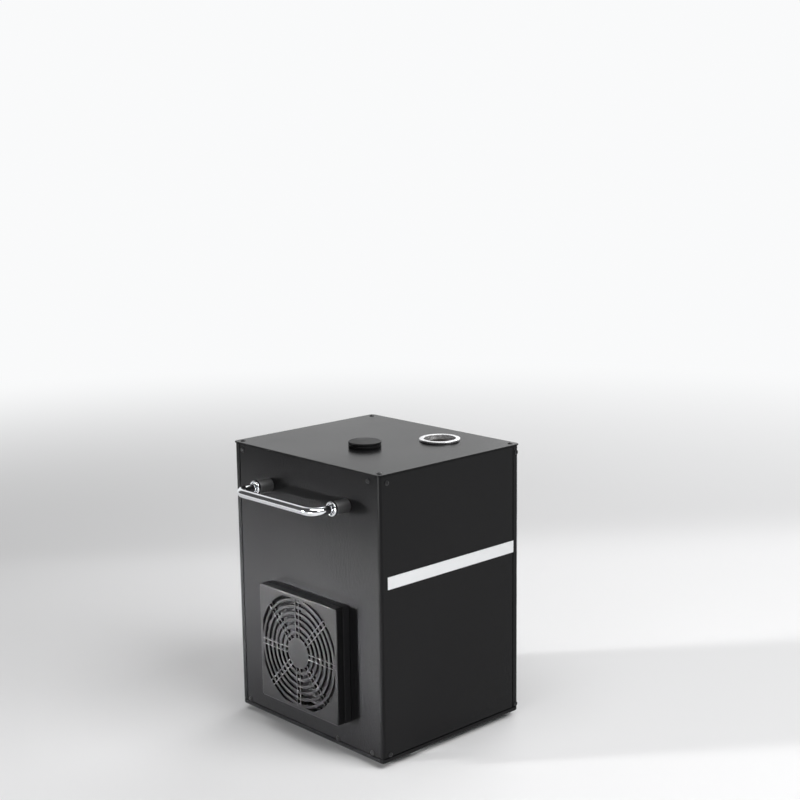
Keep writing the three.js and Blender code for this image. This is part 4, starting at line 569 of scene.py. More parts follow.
trim = Finish("brushed_trim", "silver_trim", metallic=0.2)
brushing = trim.noise(2200, 3, stretch=(0.02, 1, 1))
trim.bump(brushing, 0.15, 0.00005)
trim.rough(brushing, 0.36, 0.5)
trim.colour(trim.noise(30, 3, stretch=(0.3, 1, 1)), (0.83, 0.84, 0.85), (0.89, 0.9, 0.91))
strip = slab(*STRIP_HALF, ON_CASE, STRIP_TOP, 0.3, 0.12)
lay("trim_band", on_face(strip, FRONT, STRIP_MIDDLE), trim, "trim_strip")

# Guard frame. Moulded black plastic, screwed to the guard side: a square frame with a round bore, and a pocket
# in which the filter lies.
GUARD_MIDDLE = (-CASE_SIDE, -9, 100)
GUARD_HALF = 62
GUARD_CORNER = 3
FRAME_TOP = 8.5
FRAME_EDGE = 0.6
POCKET_FLOOR = 4.3
POCKET_HALF = 57
BORE_RADIUS = 56.8345
RIM_WIDTH = 0.3


def on_guard(shape):
    return on_face(shape, LEFT, GUARD_MIDDLE)


guard_plan = rectangle(GUARD_HALF, GUARD_HALF, GUARD_CORNER, 8, HOLD)
pocket_plan = rectangle(POCKET_HALF, POCKET_HALF, GUARD_CORNER, 6, HOLD)
bore_plan = circle(BORE_RADIUS, 96)
lay("guard_base", on_guard([
    carried(guard_plan, [*edge_rows(ON_CASE, CUT_EDGE, 2, wall=1)[::-1], *edge_rows(FRAME_TOP, FRAME_EDGE)]),
    carried(pocket_plan, hole_rows(FRAME_TOP, POCKET_FLOOR, RIM_WIDTH, CUT_RIM)),
    carried(bore_plan, hole_rows(POCKET_FLOOR, ON_CASE, RIM_WIDTH, CUT_RIM)),
    filled(FRAME_TOP, guard_plan, -FRAME_EDGE - HOLD, [pocket_plan], RIM_WIDTH),
    filled(POCKET_FLOOR, pocket_plan, 0, [bore_plan], RIM_WIDTH),
    filled(ON_CASE, guard_plan, -CUT_EDGE - HOLD, [bore_plan]),
]), plastic, "guard_frame")

# Filter pad. Open-cell foam, cut square, dark grey: its pores show between the grille's bars.
FILTER_HALF = 54.5
FILTER_PROFILE = [(-2, 4.6), (-0.6, 4.8), (0, 5.6), (0, 7.2), (-0.5, 8.1), (-1.6, 8.5), (-3, 8.5)]
filter_plan = rectangle(FILTER_HALF, FILTER_HALF, GUARD_CORNER, 5, HOLD)
foam = Finish("filter_foam", "foam", roughness=0.95, specular=0.15)
pores = foam.cells(620)
foam.bump(pores, 1.0, 0.0012)
# The colour is darkest at the pore centres, where the bump sinks: painted shade in the pores.
foam.colour(foam.between(pores, 0, 1, 0.1, 0.8), (0.004, 0.004, 0.004), (0.03, 0.03, 0.032))
pad_faces = [filled(height, filter_plan, offset) for offset, height in (FILTER_PROFILE[0], FILTER_PROFILE[-1])]
pad = lay("filter_sheet", on_guard([carried(filter_plan, FILTER_PROFILE), *pad_faces]), foam, "filter_pad")

# Grille cover. A moulded lid that snaps on the frame. Its face has rings of slots round a plain hub, crossed by
# pairs of thin spokes every eighth of a turn, and its edge is softly rounded. Four clip tongues reach into the
# frame's pocket, and a low rib runs along each spoke, coloured paler than the cover as a painted highlight.
COVER_BASE = 8.8
COVER_TOP = 17.5
COVER_EDGE = 1.1
COVER_WALL = 1.8
FACE_BASE = 15.1
HUB_RADIUS = 16.5
RING_PITCH = 6.95
RING_COUNT = 7
SLOT_WIDTH = 3.6
SLOT_SOFT = 0.35
CLIP_REACH = 57.5
SPOKE_INNER = 2.15
SPOKE_OUTER = 3.35
TONGUE_HALF = 7
TONGUE_TOP = 11.4
TONGUE_PARTS = [(2.85, 58.15, 8.9), (0.7, 56, 5.4)]  # half depth, place and base of the root and the blade
RIB_HALF = 0.62
RIB_RISE = 0.6
RIB_PLACE = (SPOKE_INNER + SPOKE_OUTER) / 2
RIB_START = HUB_RADIUS - 0.6
RIB_ENDS = [CLIP_REACH + 0.3, HUB_RADIUS + RING_PITCH * (RING_COUNT - 1) + SLOT_WIDTH + 0.4]


def arc(radius, start, end, steps):
    return radius * unit(np.linspace(start, end, steps + 1))


def mitred(points):
    """A closed outline's own normals: at each point, the two sides' normals added and scaled to the mitre."""
    after = np.roll(points, -1, 0) - points
    after = after / np.linalg.norm(after, axis=1, keepdims=True)
    normal = np.stack([after[:, 1], -after[:, 0]], -1)
    before = np.roll(normal, 1, 0)
    joined = normal + before
    return points, joined / (1 + (normal * before).sum(1, keepdims=True))


def sector_limits(radius, sector):
    """The angles between which a slot's edge runs: from one spoke pair to the next, inside the solid margin."""
    eighth = math.pi / 4
    by_spoke = math.asin(SPOKE_OUTER / radius)
    by_margin = max(by_spoke, math.acos(min(1, CLIP_REACH / radius)))
    first, last = (by_spoke, by_margin) if sector % 2 else (by_margin, by_spoke)
    return sector * eighth + first, (sector + 1) * eighth - last


def ring_slot(outer, inner, outer_limits, inner_limits, steps):
    """A slot's outline, out along its outer edge and back along its inner one."""
    return mitred(np.concatenate([arc(outer, *outer_limits, steps), arc(inner, *inner_limits[::-1], steps)]))


def grille_slots():
    """The slots between the spoke pairs, and the short ones between the two spokes of a pair."""
    slots = []
    for ring_number in range(RING_COUNT):
        inner = HUB_RADIUS + ring_number * RING_PITCH
        outer = inner + SLOT_WIDTH
        for sector in range(8):
            slots.append(ring_slot(outer, inner, sector_limits(outer, sector), sector_limits(inner, sector),
                                   6 + 2 * ring_number))
            if inner > CLIP_REACH and sector % 2 == 0:
                continue
            middle = sector * math.pi / 4
            out_half, in_half = math.asin(SPOKE_INNER / outer), math.asin(SPOKE_INNER / inner)
            slots.append(ring_slot(outer, inner, (middle - out_half, middle + out_half),
                                   (middle - in_half, middle + in_half), 2))
    return slots


def spun(shape, angle, axis=2):
    """A shape turned by that angle about one of its own axes: 0 is right, 1 up and 2 outwards."""
    first, second = (axis + 1) % 3, (axis + 2) % 3
    spin = np.eye(3)
    spin[first, first] = spin[second, second] = math.cos(angle)
    spin[first, second], spin[second, first] = math.sin(angle), -math.sin(angle)
    return [(points @ spin, faces) for points, faces in shape]


slots = grille_slots()
grille = [
    carried(guard_plan, [
        (-COVER_WALL, FACE_BASE), (-COVER_WALL, COVER_BASE), (-RIM_WIDTH, COVER_BASE), (0, COVER_BASE + RIM_WIDTH),
        *edge_rows(COVER_TOP, COVER_EDGE, 5)]),
    filled(COVER_TOP, guard_plan, -COVER_EDGE - HOLD, slots, SLOT_SOFT),
    filled(FACE_BASE, guard_plan, -COVER_WALL, slots),
    *[carried(slot, hole_rows(COVER_TOP, FACE_BASE, SLOT_SOFT, FINE_RIM)) for slot in slots],
]
for half_depth, place, base in TONGUE_PARTS:
    tongue = moved(slab(TONGUE_HALF, half_depth, base, TONGUE_TOP, 0.3, 0.2), 0, place)
    for quarter in range(4):
        grille += spun(tongue, quarter * math.pi / 2)
grille_plastic = Finish("grille_plastic", "black_plastic", specular=0.1)
grille_plastic.bump(grille_plastic.cells(2200), 0.22, 0.0001)
grille_plastic.rough((50, 3), 0.28, 0.34)
grille_plastic.colour((200, 3), (0.006, 0.006, 0.0064), (0.009, 0.009, 0.0096))
lay("grille_lid", on_guard(grille), grille_plastic, "guard_cover", body="grille")
ribs = []
for eighth in range(8):
    half = (RIB_ENDS[eighth % 2] - RIB_START) / 2
    rib = slab(RIB_HALF, half, COVER_TOP - RIB_RISE, COVER_TOP + RIB_RISE, 0.5, 0.45)
    for side in (-1, 1):
        ribs += spun(moved(rib, side * RIB_PLACE, RIB_START + half), eighth * math.pi / 4)
# The ribs are the cover's own plastic, coloured paler as a painted highlight along the spokes.
painted_highlight_rib_plastic = Finish("painted_highlight_rib_plastic", "black_plastic", specular=0.12)
painted_highlight_rib_plastic.rough((150, 3), 0.45, 0.55)
painted_highlight_rib_plastic.colour((400, 2), (0.026, 0.026, 0.027), (0.034, 0.034, 0.035))
lay("grille_ribs", on_guard(ribs), painted_highlight_rib_plastic, body="grille")

# Carry handles. A polished and chromed bar, bent at both ends, stands in a chromed ferrule on a black moulded
# standoff at each leg; a screw from inside the case holds each leg.
HANDLE_MIDDLE_Y, HANDLE_Z = -9, 266
HANDLE_HALF = 61
HANDLE_REACH = 43.5
HANDLE_BEND = 13
BAR_RADIUS = 4.4
LEG_BASE = 17.6
FERRULE_SECTION = [(7.6, LEG_BASE, 0.3), (7.6, 21.2, 0.8), (6.1, 21.2, 0.6), (5.7, 19, 0.4), (4.65, 18.8, 0.1),
                   (4.65, LEG_BASE, 0.1)]
STANDOFF_SECTION = [(7, ON_CASE, 0.4), (7, 17.3, 0.7), (2.6, 17.3, 0.3), (2.6, ON_CASE, 0.1)]
chrome = Finish("polished_chrome", "chrome", (0.86, 0.87, 0.89), metallic=1)
chrome.rough((70, 4), 0.05, 0.11)
chrome.bump((35, 2), 0.03, 0.0006)
standoff_plastic = Finish("standoff_black", "black_plastic", specular=1.0, ior=1.8)
standoff_plastic.rough((120, 3), 0.46, 0.52)
standoff_plastic.bump((900, 2), 0.06, 0.0001)
standoff_plastic.colour((200, 2), (0.01, 0.01, 0.011), (0.014, 0.014, 0.015))


def bar(path, radius, sides=48):
    """A round bar along a path in the (right, outwards) plane: ring i stands on path point i, across its way.

    Its two ends are closed by a point in the middle of each."""
    way = np.gradient(path, axis=0)
    way = way / np.linalg.norm(way, axis=1, keepdims=True)
    aside = np.stack([way[:, 1], np.zeros(len(way)), -way[:, 0]], -1)
    angle = full_turn(sides)[None, :, None]
    centre = np.stack([path[:, 0], np.zeros(len(path)), path[:, 1]], -1)
    rings = centre[:, None] + radius * (np.cos(angle) * aside[:, None] + np.sin(angle) * np.array([0, 1, 0]))
    caps = np.repeat(centre[[0, -1], None], sides, 1)
    rings = np.concatenate([caps[:1], rings, caps[1:]])
    return [(rings.reshape(-1, 3), grid_quads(len(rings), sides))]


def handle_path():
    """Straight legs and grip, with a parabolic bend at each corner: (1-t)^2 A + 2 t (1-t) B + t^2 C."""
    t = np.linspace(0, 1, 17)[:, None]
    low, side, top = HANDLE_REACH - HANDLE_BEND, HANDLE_HALF, HANDLE_REACH
    a, b, c = np.array((-side, low)), np.array((-side, top)), np.array((HANDLE_BEND - side, top))
    bend = (1 - t) ** 2 * a + 2 * t * (1 - t) * b + t ** 2 * c
    leg = np.linspace((-side, LEG_BASE), a, 5)[:-1]
    grip = np.linspace(c, (0, top), 9)[1:-1]
    half = np.concatenate([leg, bend, grip])
    return np.concatenate([half, [(0, top)], half[::-1] * (-1, 1)])


for side, outward in (("left", LEFT), ("right", RIGHT)):
    middle = (outward[0] * CASE_SIDE, HANDLE_MIDDLE_Y, HANDLE_Z)
    grip_bar = on_face(bar(handle_path(), BAR_RADIUS), outward, middle)
    lay(f"carry_bar_{side}", grip_bar, chrome, f"handle_bar_{side}", even=False)
    for end, u in (("a", -HANDLE_HALF), ("b", HANDLE_HALF)):
        for name, node, section, finish in (
            ("chrome_ferrule", "ferrule", FERRULE_SECTION, chrome),
            ("black_standoff", "standoff", STANDOFF_SECTION, standoff_plastic),
        ):
            collar = on_face(moved(turned(section, closed=True), u), outward, middle)
            lay(f"{name}_{side}_{end}", collar, finish, f"{node}_{side}_{end}")

# Hopper neck and cap. The neck is a moulded ring that drops through the top plate; the cap plugs into it and
# closes flush with its flange, so that its edge shows as two layers with a groove.
NECK_SECTION = [(15.5, 292, 0.2), (15.5, 304.3, 0.1), (17.4, 304.3, 0.4), (17.4, 306.8, 0.5), (13.5, 306.8, 0.3),
                (13.5, 292, 0.2)]
CAP_SECTION = [(0, 297.1, 0), (13.2, 297.1, 0.5), (13.2, 307.1, 0.2), (17.4, 307.1, 0.4), (17.4, 310, 0.9),
               (0, 310, 0)]
lay("neck_ring", moved(turned(NECK_SECTION, 72, closed=True), *HOPPER_PLACE), plastic, "hopper_neck")
lay("cap_disc", moved(turned(CAP_SECTION, 72, 4), *HOPPER_PLACE), plastic, "hopper_cap", body="cap")

# Nozzle ring. A bright turned metal ring lies on the top plate, with its skirt in the hole.
RING_SECTION = [(19, 299, 0.2), (19, 304.3, 0.1), (22, 304.3, 0.3), (22, 306.7, 0.7), (17.2, 306.7, 0.4),
                (17.2, 299, 0.2)]
ring_metal = Finish("satin_ring_metal", "bare_steel", metallic=0.9)
ring_metal.rough(ring_metal.noise(1500, 2, stretch=(1, 1, 0.1)), 0.24, 0.38)
ring_metal.bump(ring_metal.noise(1800, 2, stretch=(1, 1, 0.1)), 0.08, 0.0001)
ring_metal.colour((60, 3), (0.74, 0.74, 0.75), (0.85, 0.85, 0.86))
lay("nozzle_bezel", moved(turned(RING_SECTION, 72, closed=True), *NOZZLE_PLACE), ring_metal, "nozzle_ring")

# Display. A clear dark window, pushed through the rear panel from behind, stands before a four-digit segment
# display. The segments are unlit, so they show only as a slightly paler red-brown under the surface.
WINDOW_HALF = (27.7, 12.7)
WINDOW_TOP = 0.6
WINDOW_FLANGE_HALF = (29.5, 14.5)
WINDOW_BACK = -3.3
PANEL_INSIDE = -1.8
DIGIT_PITCH = 12.4
SEGMENTS = [(3, 0.65, 0, v) for v in (-8, 0, 8)] + [(0.65, 3.2, u, v) for u in (-3.8, 3.8) for v in (-4, 4)]
SEGMENT_BASE, SEGMENT_TOP = 0.5, 0.63


def on_panel(shape, u, z):
    return on_face(shape, REAR, (-u, CASE_BACK, z))


glass = Finish("display_window", "display_glass", specular=0.6)
glass.rough((40, 3), 0.05, 0.12)
glass.colour((20, 1), (0.008, 0.012, 0.018), (0.013, 0.02, 0.028))
window = (slab(*WINDOW_HALF, WINDOW_BACK, WINDOW_TOP, 1.7, 0.4)
          + slab(*WINDOW_FLANGE_HALF, WINDOW_BACK, PANEL_INSIDE, 2, 0.2))
lay("display_lens", on_panel(window, 0, DISPLAY_Z), glass, "display_window")
segment = Finish("unlit_segment", "display_glass", specular=0.6)
segment.colour((900, 2), (0.042, 0.012, 0.01), (0.058, 0.016, 0.014))
segment.rough((60, 3), 0.08, 0.14)
digits = []
for digit in range(4):
    for half_width, half_height, u, v in SEGMENTS:
        mark = slab(half_width, half_height, SEGMENT_BASE, SEGMENT_TOP, 0.5, 0.02)
        digits += moved(mark, (digit - 1.5) * DIGIT_PITCH + u, v)
lay("display_digits", on_panel(digits, 0, DISPLAY_Z), segment)

# Menu buttons. Four moulded keys with soft edges; each has a flange behind the panel and a stem to its switch.
# White printed signs stand over them, and a thin printed line frames the display and the keys.
BUTTON_NAMES = ["menu", "down", "up", "enter"]
KEY_HALF = (5.2, 3.2)
KEY_FLANGE_HALF = (6.9, 4.9)
KEY_TOP, KEY_BACK = 2, -3.2
STEM_SECTION = [(0, -7.1, 0), (1.6, -7.1, 0.3), (1.6, -3, 0)]
PRINT = 0.06
PRINT_CORNER = 0.15
SIGN_RISE = 8.6
FRAME_LINE_HALF = (38, 30)
FRAME_LINE_RISE = 19.5
FRAME_LINE_WIDTH = 0.5


def at_each(places, shape):
    return [sheet for place in places for sheet in moved(shape, *place)]


def printed(corners):
    """A printed patch inside these corners, as thick as the ink."""
    return block(rounded([(*corner, PRINT_CORNER) for corner in corners], 3), 0, PRINT)


def printed_line(outline, width):
    """A printed closed line of that width, inside the outline."""
    return [carried(outline, [(0, 0), (0, PRINT), (-width, PRINT), (-width, 0), (0, 0)])]


key = (slab(*KEY_HALF, KEY_BACK, KEY_TOP, 1.7, 0.8) + slab(*KEY_FLANGE_HALF, KEY_BACK, PANEL_INSIDE, 2, 0.2)
       + turned(STEM_SECTION, 24))
for name, u in zip(BUTTON_NAMES, BUTTON_U):
    lay(f"{name}_key_top", on_panel(key, u, BUTTON_Z), plastic, f"button_{name}", body=f"{name}_key")
print_white = Finish("white_panel_print")
print_white.colour((1500, 3), (0.55, 0.55, 0.56), (0.68, 0.68, 0.68))
print_white.rough((300, 2), 0.5, 0.7)
signs = moved(printed_line(rectangle(*FRAME_LINE_HALF, 3), FRAME_LINE_WIDTH), 0, FRAME_LINE_RISE)
menu_lines = at_each([(0, -1.4), (0, 0), (0, 1.4)], slab(2, 0.3, 0, PRINT, 0.1, 0.01))
down_arrow = printed([(-2, 1.3), (0, -1.7), (2, 1.3)])
up_arrow = printed([(-2, -1.3), (2, -1.3), (0, 1.7)])
enter_ring = printed_line(circle(1.9, 32), 0.55)
for sign, u in zip((menu_lines, down_arrow, up_arrow, enter_ring), BUTTON_U):
    signs += moved(sign, u, SIGN_RISE)
lay("panel_signs", on_panel(signs, 0, BUTTON_Z), print_white, slot="black_coat", even=False)

# Signal sockets. Round connectors in flanged shells: the input holds three pins in its bore, the output has a
# face with three holes and a sprung release tab. Two recessed screws hold each flange.
SOCKET_HALF = (13, 15.5)
SOCKET_TOP = 2.3
SOCKET_FLOOR = -14.7
SOCKET_BACK = -19.7
BORE, BARREL, PLUG_FACE = 9.6, 11.6, 7.4
LIP_SECTION = [(10, 2.2, 0.1), (10, 3, 0.3), (11.5, 3, 0.3), (11.5, 2.2, 0.1)]
GUIDE_HALF = (2, 0.9)
GUIDE_TOP = 1.6
GUIDE_RISE = 8.9
PIN_SECTION = [(0, -1.5, 0), (1.2, -1.5, 0.9), (1.2, SOCKET_FLOOR, 0)]
PIN_CIRCLE = 5.2
PIN_PLACES = PIN_CIRCLE * unit(np.radians([30, 150, 270]))
PIN_HOLE = 1.5
PIN_HOLE_FLOOR = -8
TAB_HALF = (4, 1.7)
TAB_BASE, TAB_TOP = 2.15, 5.2
TAB_RISE = 12.4
RIDGE_HALF = (3.2, 0.2)
RIDGE_BASE, RIDGE_TOP = 5.1, 5.5
RIDGE_PLACES = [(0, -0.9), (0, 0), (0, 0.9)]
TAB_SLOT_RISE = 12.5
TAB_SLOT_FLOOR = 0.45
SOCKET_SCREWS = [(middle + u, v) for middle in (-SIGNAL_U, SIGNAL_U) for u, v in ((-10, -12.6), (10, 12.6))]
SCREW_RADIUS = 2.6
SCREW_HEIGHT = 1.0
SCREW_TURN = 0.3
DOME_FALL = 0.72
CROSS_HALF, CROSS_SLOPE = 0.42, 0.12
CROSS_REACH, CROSS_END = 1.55, 0.2
CROSS_DEPTH, CROSS_TAPER = 0.7, 0.25
OPENING_SOFT = 0.2


def pierced(outline, holes, base, top, soft, body=None, body_base=None):
    """A plate drawn in (right, up, outwards), with holes listed as (outline, floor), each closed at its floor.
    With a body, the plate is the flange of a box or barrel of that outline, which goes down to its own base."""
    shape = [
        carried(outline, both_edges(base, top, soft, 2, 3)),
        filled(top, outline, -soft, [hole for hole, _ in holes], OPENING_SOFT),
        filled(base, outline, -soft, [body] if body else []),
    ]
    for hole, floor in holes:
        shape += [carried(hole, hole_rows(top, floor, OPENING_SOFT)), filled(floor, hole)]
    if body:
        shape += [carried(body, [(0, base), (0, body_base)]), filled(body_base, body)]
    return shape


def screw(base):
    """A domed head with a cross cut into it: height = dome(r) - cut where either arm of the cross passes."""
    rings, sides = 12, 48
    radius = SCREW_RADIUS * np.concatenate([[0], np.linspace(0.08, 1, rings)])[:, None]
    angle = full_turn(sides)
    dome = SCREW_HEIGHT * np.sqrt(1 - DOME_FALL * (radius / SCREW_RADIUS) ** 2)
    arm = radius * np.abs(unit(angle)).min(-1)
    cross = np.clip((CROSS_HALF - arm) / CROSS_SLOPE, 0, 1) * np.clip((CROSS_REACH - radius) / CROSS_END, 0, 1)
    height = dome - CROSS_DEPTH * cross * (1 - CROSS_TAPER * radius)
    head = np.concatenate([radius[..., None] * unit(angle + SCREW_TURN), height[..., None]], -1)
    grid = np.concatenate([head, head[-1:] * (1, 1, 0)])
    return [(grid.reshape(-1, 3) + (0, 0, base), grid_quads(len(grid), sides))]


screw_metal = Finish("black_screw", "black_coat", (0.01, 0.01, 0.011), metallic=0.1)
screw_metal.rough((600, 3), 0.3, 0.4)
screw_metal.bump((1500, 2), 0.1, 0.0001)
socket_plastic = Finish("socket_plastic", "black_plastic", specular=0.45)
socket_plastic.bump(socket_plastic.cells(2600), 0.12, 0.0001)
socket_plastic.rough((50, 3), 0.3, 0.45)
socket_plastic.colour((220, 3), (0.01, 0.01, 0.011), (0.015, 0.015, 0.016))
contact = Finish("plated_contact", "bare_steel", metallic=1)
contact.rough((600, 2), 0.2, 0.34)
contact.colour((90, 3), (0.66, 0.63, 0.56), (0.76, 0.73, 0.67))
bore = (circle(BORE, 64), SOCKET_FLOOR)
tab_slot = (shifted(rectangle(4.3, 2, 0.5, 4), 0, TAB_SLOT_RISE), TAB_SLOT_FLOOR)
input_shell, output_shell = (
    pierced(rectangle(*SOCKET_HALF, 2.5), holes, ON_CASE, SOCKET_TOP, 0.35, circle(BARREL, 64), SOCKET_BACK)
    for holes in ([bore], [bore, tab_slot]))
input_shell += turned(LIP_SECTION, 64, closed=True)
input_shell += moved(slab(*GUIDE_HALF, SOCKET_FLOOR, GUIDE_TOP, 0.3, 0.2), 0, GUIDE_RISE)
lay("input_socket", on_panel(input_shell, SIGNAL_U, SIGNAL_Z), socket_plastic, "signal_input")
lay("input_pins", on_panel(at_each(PIN_PLACES, turned(PIN_SECTION, 24)), SIGNAL_U, SIGNAL_Z), contact)
pin_holes = [(shifted(circle(PIN_HOLE, 24), *place), PIN_HOLE_FLOOR) for place in PIN_PLACES]
output_shell += pierced(circle(PLUG_FACE, 64), pin_holes, SOCKET_FLOOR, SOCKET_TOP, 0.5)
lay("output_socket", on_panel(output_shell, -SIGNAL_U, SIGNAL_Z), socket_plastic, "signal_output")
tab = slab(*TAB_HALF, TAB_BASE, TAB_TOP, 0.5, 0.4)
tab += at_each(RIDGE_PLACES, slab(*RIDGE_HALF, RIDGE_BASE, RIDGE_TOP, 0.15, 0.1))
lay("tab_lever", on_panel(moved(tab, 0, TAB_RISE), -SIGNAL_U, SIGNAL_Z), zinc, "release_tab", body="tab")
lay("socket_screws", on_panel(at_each(SOCKET_SCREWS, screw(SOCKET_TOP)), 0, SIGNAL_Z), screw_metal)

# Power inlet, switch and fuse. The inlet's flanged shell holds three blades; the switch is a red rocker in a
# bevelled frame; the fuse sits under a slotted cap that screws into its holder.
INLET_HALF = (25, 14.3)
INLET_BODY_HALF = (14.7, 12.7)
INLET_TOP = 2.7
INLET_FLOOR = -16.1
INLET_BACK = -21.3
INLET_HOLLOW = [(-12.1, -10.1, 2.4), (12.1, -10.1, 2.4), (12.1, 5.1, 1), (7.1, 10.1, 1), (-7.1, 10.1, 1),
                (-12.1, 5.1, 1)]
BLADE_PLACES = [(-7, -2.5), (7, -2.5), (0, 2.5)]
BLADE_TOP = -1.5
BEZEL_HALF = (10.5, 14)
BEZEL_BODY_HALF = (9, 12.5)
BEZEL_TOP = 2.3
BEZEL_BACK = -15.7
WELL_HALF = (7.5, 11)
WELL_FLOOR = -6.6
ROCKER_HALF = 7.2
ROCKER_TILT = math.radians(-10)
ROCKER_SLOPE = math.atan2(1.67, 9.87)
ROCKER_SECTION = [(9.73, -3.66, 0.4), (10.45, -0.1, 8), (9.87, 3.27, 0.9), (0, 1.6, 26), (-9.87, 3.27, 0.9),
                  (-10.45, -0.1, 8), (-9.73, -3.66, 0.4)]
ROCKER_PIN_SECTION = [(0, -8.7, 0), (1.2, -8.7, 0.2), (1.2, 8.7, 0.2), (0, 8.7, 0)]
MARK_REACH = 5.6
MARK_RISE = 1.66
HOLDER_SECTION = [(0, -22.7, 0), (4.8, -22.7, 0.2), (4.8, 2.8, 0.3), (9, 2.8, 0.7), (9, ON_CASE, 0.3),
                  (6.2, ON_CASE, 0.2), (6.2, -25.2, 0.4), (0, -25.2, 0)]
FUSE_SECTION = [(0, -18.9, 0), (4.5, -18.9, 0.6), (4.5, 3.3, 0)]
FUSE_CAP_RADIUS, FLUTE_DEPTH, FLUTES = 6.42, 0.18, 24
FUSE_CAP_BASE, FUSE_CAP_TOP, FUSE_SLOT_FLOOR = 3.1, 7.2, 6
inlet = pierced(rectangle(*INLET_HALF, 3), [(rounded(INLET_HOLLOW, 5), INLET_FLOOR)], ON_CASE, INLET_TOP, 0.5,
                rectangle(*INLET_BODY_HALF, 3, 5), INLET_BACK)
lay("inlet_shell", on_panel(inlet, INLET_U, POWER_Z), socket_plastic, "power_inlet")
blades = at_each(BLADE_PLACES, slab(1, 2, INLET_FLOOR, BLADE_TOP, 0.3, 0.3))
lay("inlet_blades", on_panel(blades, INLET_U, POWER_Z), contact)
lay("inlet_screws", on_panel(at_each([(-20, 0), (20, 0)], screw(INLET_TOP)), INLET_U, POWER_Z), screw_metal)
bezel = pierced(rectangle(*BEZEL_HALF, 1.3, 5), [(rectangle(*WELL_HALF, 0.4, 3), WELL_FLOOR)], ON_CASE, BEZEL_TOP,
                0.9, rectangle(*BEZEL_BODY_HALF, 0.4, 3), BEZEL_BACK)
lay("switch_bezel", on_panel(bezel, 0, POWER_Z), socket_plastic, "switch_frame")
red = Finish("red_rocker", "red_plastic")
red.colour((180, 3), (0.33, 0.01, 0.008), (0.4, 0.015, 0.012))
red.rough((90, 3), 0.28, 0.42)
# The rocker and its pin are drawn in (up, outwards, right)
rocker = block(rounded(ROCKER_SECTION), -ROCKER_HALF, ROCKER_HALF, 0.5, 3) + turned(ROCKER_PIN_SECTION, 20)
rocker = spun([(np.roll(points, 1, 1), faces) for points, faces in rocker], ROCKER_TILT, axis=0)
lay("rocker_key", on_panel(rocker, 0, POWER_Z), red, "switch_rocker", body="rocker", crease=50)
on_mark = printed([(-0.3, -2), (0.3, -2), (0.3, 2), (-0.3, 2)])
marks = []
for side, mark in ((1, printed_line(circle(2.1, 40), 0.6)), (-1, on_mark)):
    marks += spun(moved(mark, 0, side * MARK_REACH, MARK_RISE), ROCKER_TILT + side * ROCKER_SLOPE, axis=0)
lay("rocker_marks", on_panel(marks, 0, POWER_Z), print_white, body="rocker", slot="red_plastic", even=False)
lay("fuse_socket", on_panel(turned(HOLDER_SECTION, 64), FUSE_U, POWER_Z), socket_plastic, "fuse_holder")
flute = full_turn(144)
fluted = mitred(unit(flute) * (FUSE_CAP_RADIUS + FLUTE_DEPTH * np.cos(FLUTES * flute))[:, None])
fuse_slot = (rectangle(5, 0.7, 0.25, 3), FUSE_SLOT_FLOOR)
fuse_cap = pierced(fluted, [fuse_slot], FUSE_CAP_BASE, FUSE_CAP_TOP, 0.6) + turned(FUSE_SECTION, 40)
lay("fuse_cap", on_panel(fuse_cap, FUSE_U, POWER_Z), socket_plastic, "fuse_carrier", body="fuse")

# Cover screws. Low black screws with a cross recess hold each panel at its corners.
TOP_SCREWS = [(x, y) for x in (-93.5, 93.5) for y in (-111.5, 105.5)]
SIDE_SCREWS = [
    (LEFT, (-CASE_SIDE, 0, 0), [(-98, 14.5), (-98, 296), (102, 14.5), (102, 296), (49, 13.6)]),
    (FRONT, (0, CASE_FRONT, 0), [(-90, 14.5), (-90, 295), (95.7, 14.5), (95.7, 295)]),
    (RIGHT, (CASE_SIDE, 0, 0), [(-104, 14.5), (98, 14.5), (-104, 296), (98, 296)]),
    (REAR, (0, CASE_BACK, 0), [(-92, 16), (92, 16), (-92, 296), (92, 296)]),
]
screws = at_each(TOP_SCREWS, screw(PLATE_TOP))
for outward, middle, places in SIDE_SCREWS:
    screws += on_face(at_each(places, screw(0)), outward, middle)
lay("cover_screws", screws, screw_metal)

# Floor and surround. A plain pale floor takes the object's shadow. Away from the object it fades into the pale
# surround, which eyes and reflections see, while the light on the object comes from the lamps. Mirrored rays see
# the surround pale only behind the object: beside and before it the studio is dark.
SURROUND = (0.95, 0.955, 0.96)
SURROUND_SEEN = 1.0
SURROUND_LIGHT = 0.06
MIRRORED_DARK = 0.02
DARK_UNTIL, PALE_FROM = 0.45, 0.75
FLOOR_RADII = [0, 0.3, 0.6, 1, 1.6, 2.4, 4, 8, 16, 40]
FADE_START, FADE_END = 0.7, 2.4


def seen_strength(nodes, mirrored=1.0):
    """SURROUND_SEEN for rays from the eye, that times mirrored for rays from a gloss or a glass, and
    SURROUND_LIGHT for all others."""
    rays = nodes.tree.nodes.new("ShaderNodeLightPath").outputs
    reflected = nodes.calculate("MAXIMUM", rays["Is Glossy Ray"], rays["Is Transmission Ray"])
    seen = nodes.calculate("MAXIMUM", rays["Is Camera Ray"], nodes.calculate("MULTIPLY", reflected, mirrored))
    return nodes.between(seen, SURROUND_LIGHT, SURROUND_SEEN, 0, 1)


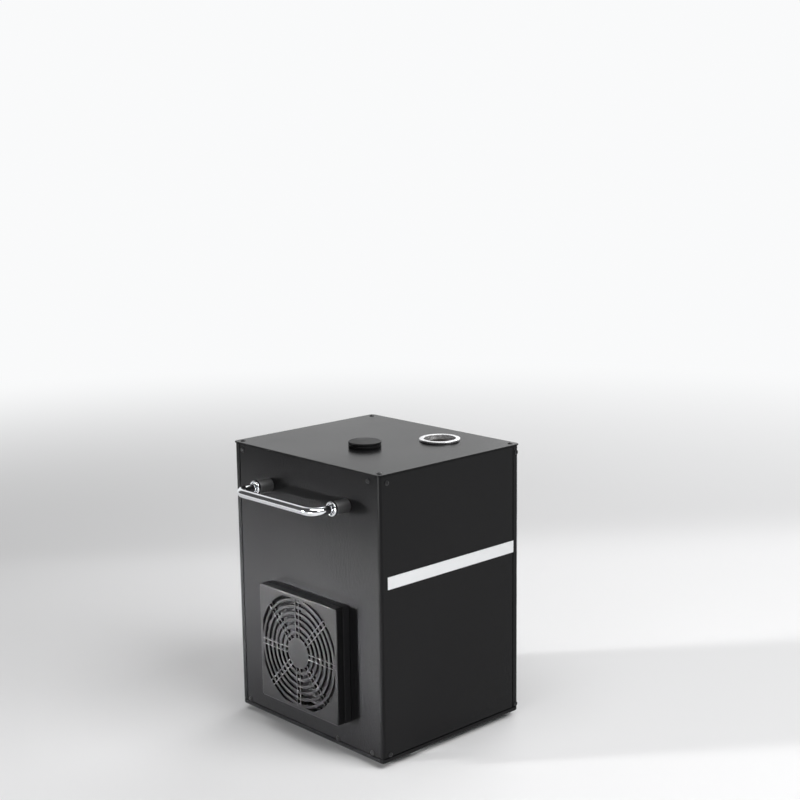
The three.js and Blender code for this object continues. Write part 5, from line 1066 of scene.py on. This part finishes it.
pale = Finish("pale_floor", roughness=0.8, specular=0.1)
pale.colour((3, 2), (0.79, 0.79, 0.795), (0.81, 0.81, 0.815))
far_floor = pale.node("ShaderNodeEmission", {"Color": SURROUND, "Strength": seen_strength(pale)})
distance = pale.node("ShaderNodeVectorMath", {0: pale.place}, 1, operation="LENGTH")
fade = pale.between(distance, 0, 1, FADE_START, FADE_END, interpolation_type="SMOOTHSTEP")
faded = pale.node("ShaderNodeMixShader", {0: fade, 1: pale.shader.outputs[0], 2: far_floor})
pale.set(pale.tree.nodes["Material Output"], {"Surface": faded})
floor = build("floor", turned([(radius / MM, 0, 0) for radius in FLOOR_RADII], 64, 0), pale)
world = bpy.data.worlds.new("studio")
world.use_nodes = True
sky = Nodes(world.node_tree)
behind = sky.node("ShaderNodeVectorMath", {
    0: sky.node("ShaderNodeTexCoord", {}, "Generated"), 1: (-math.sin(bearing), math.cos(bearing), 0),
}, "Value", operation="DOT_PRODUCT")
backdrop = sky.between(behind, MIRRORED_DARK, 1, DARK_UNTIL, PALE_FROM, interpolation_type="SMOOTHSTEP")
sky.set(sky.tree.nodes["Background"], {"Color": SURROUND, "Strength": seen_strength(sky, backdrop)})
bpy.context.scene.world = world

# Lamps. Large soft ones above, to the right and in front light the object at a plain level. A low one with a grid
# grazes the guard side from behind, and a small one brings out the bent corner.
OBJECT_MIDDLE = (0, 0, 0.2)


def lamp(name, place, target, size, power, spread=180):
    """A soft lamp that faces its target and that the camera doesn't see; a grid may narrow its beam to the
    spread in degrees."""
    light = bpy.data.lights.new(name, "AREA")
    light.shape = "RECTANGLE"
    light.size, light.size_y = size
    light.energy = power
    light.spread = math.radians(spread)
    holder = bpy.data.objects.new(name, light)
    holder.location = place
    holder.rotation_euler = (Vector(target) - Vector(place)).to_track_quat("-Z", "Y").to_euler()
    holder.visible_camera = False
    bpy.context.scene.collection.objects.link(holder)


lamp("lamp_above", (-0.5, -0.2, 2.3), OBJECT_MIDDLE, size=(1.2, 1.0), power=14)
lamp("lamp_right", (1.8, 0.7, 1.6), OBJECT_MIDDLE, size=(1.4, 1.4), power=18)
lamp("lamp_front", (0.3, -1.7, 2.1), OBJECT_MIDDLE, size=(1.6, 1.6), power=48)
lamp("lamp_left", (-1.5, 1.05, 0.18), (-0.1, 0, 0.13), size=(1.4, 0.17), power=7.3, spread=8)
lamp("lamp_edge", (-1.0, -0.32, 0.13), (-0.1, -0.118, 0.25), size=(0.45, 0.26), power=3.6)
bpy.context.scene.view_settings.view_transform = "Standard"
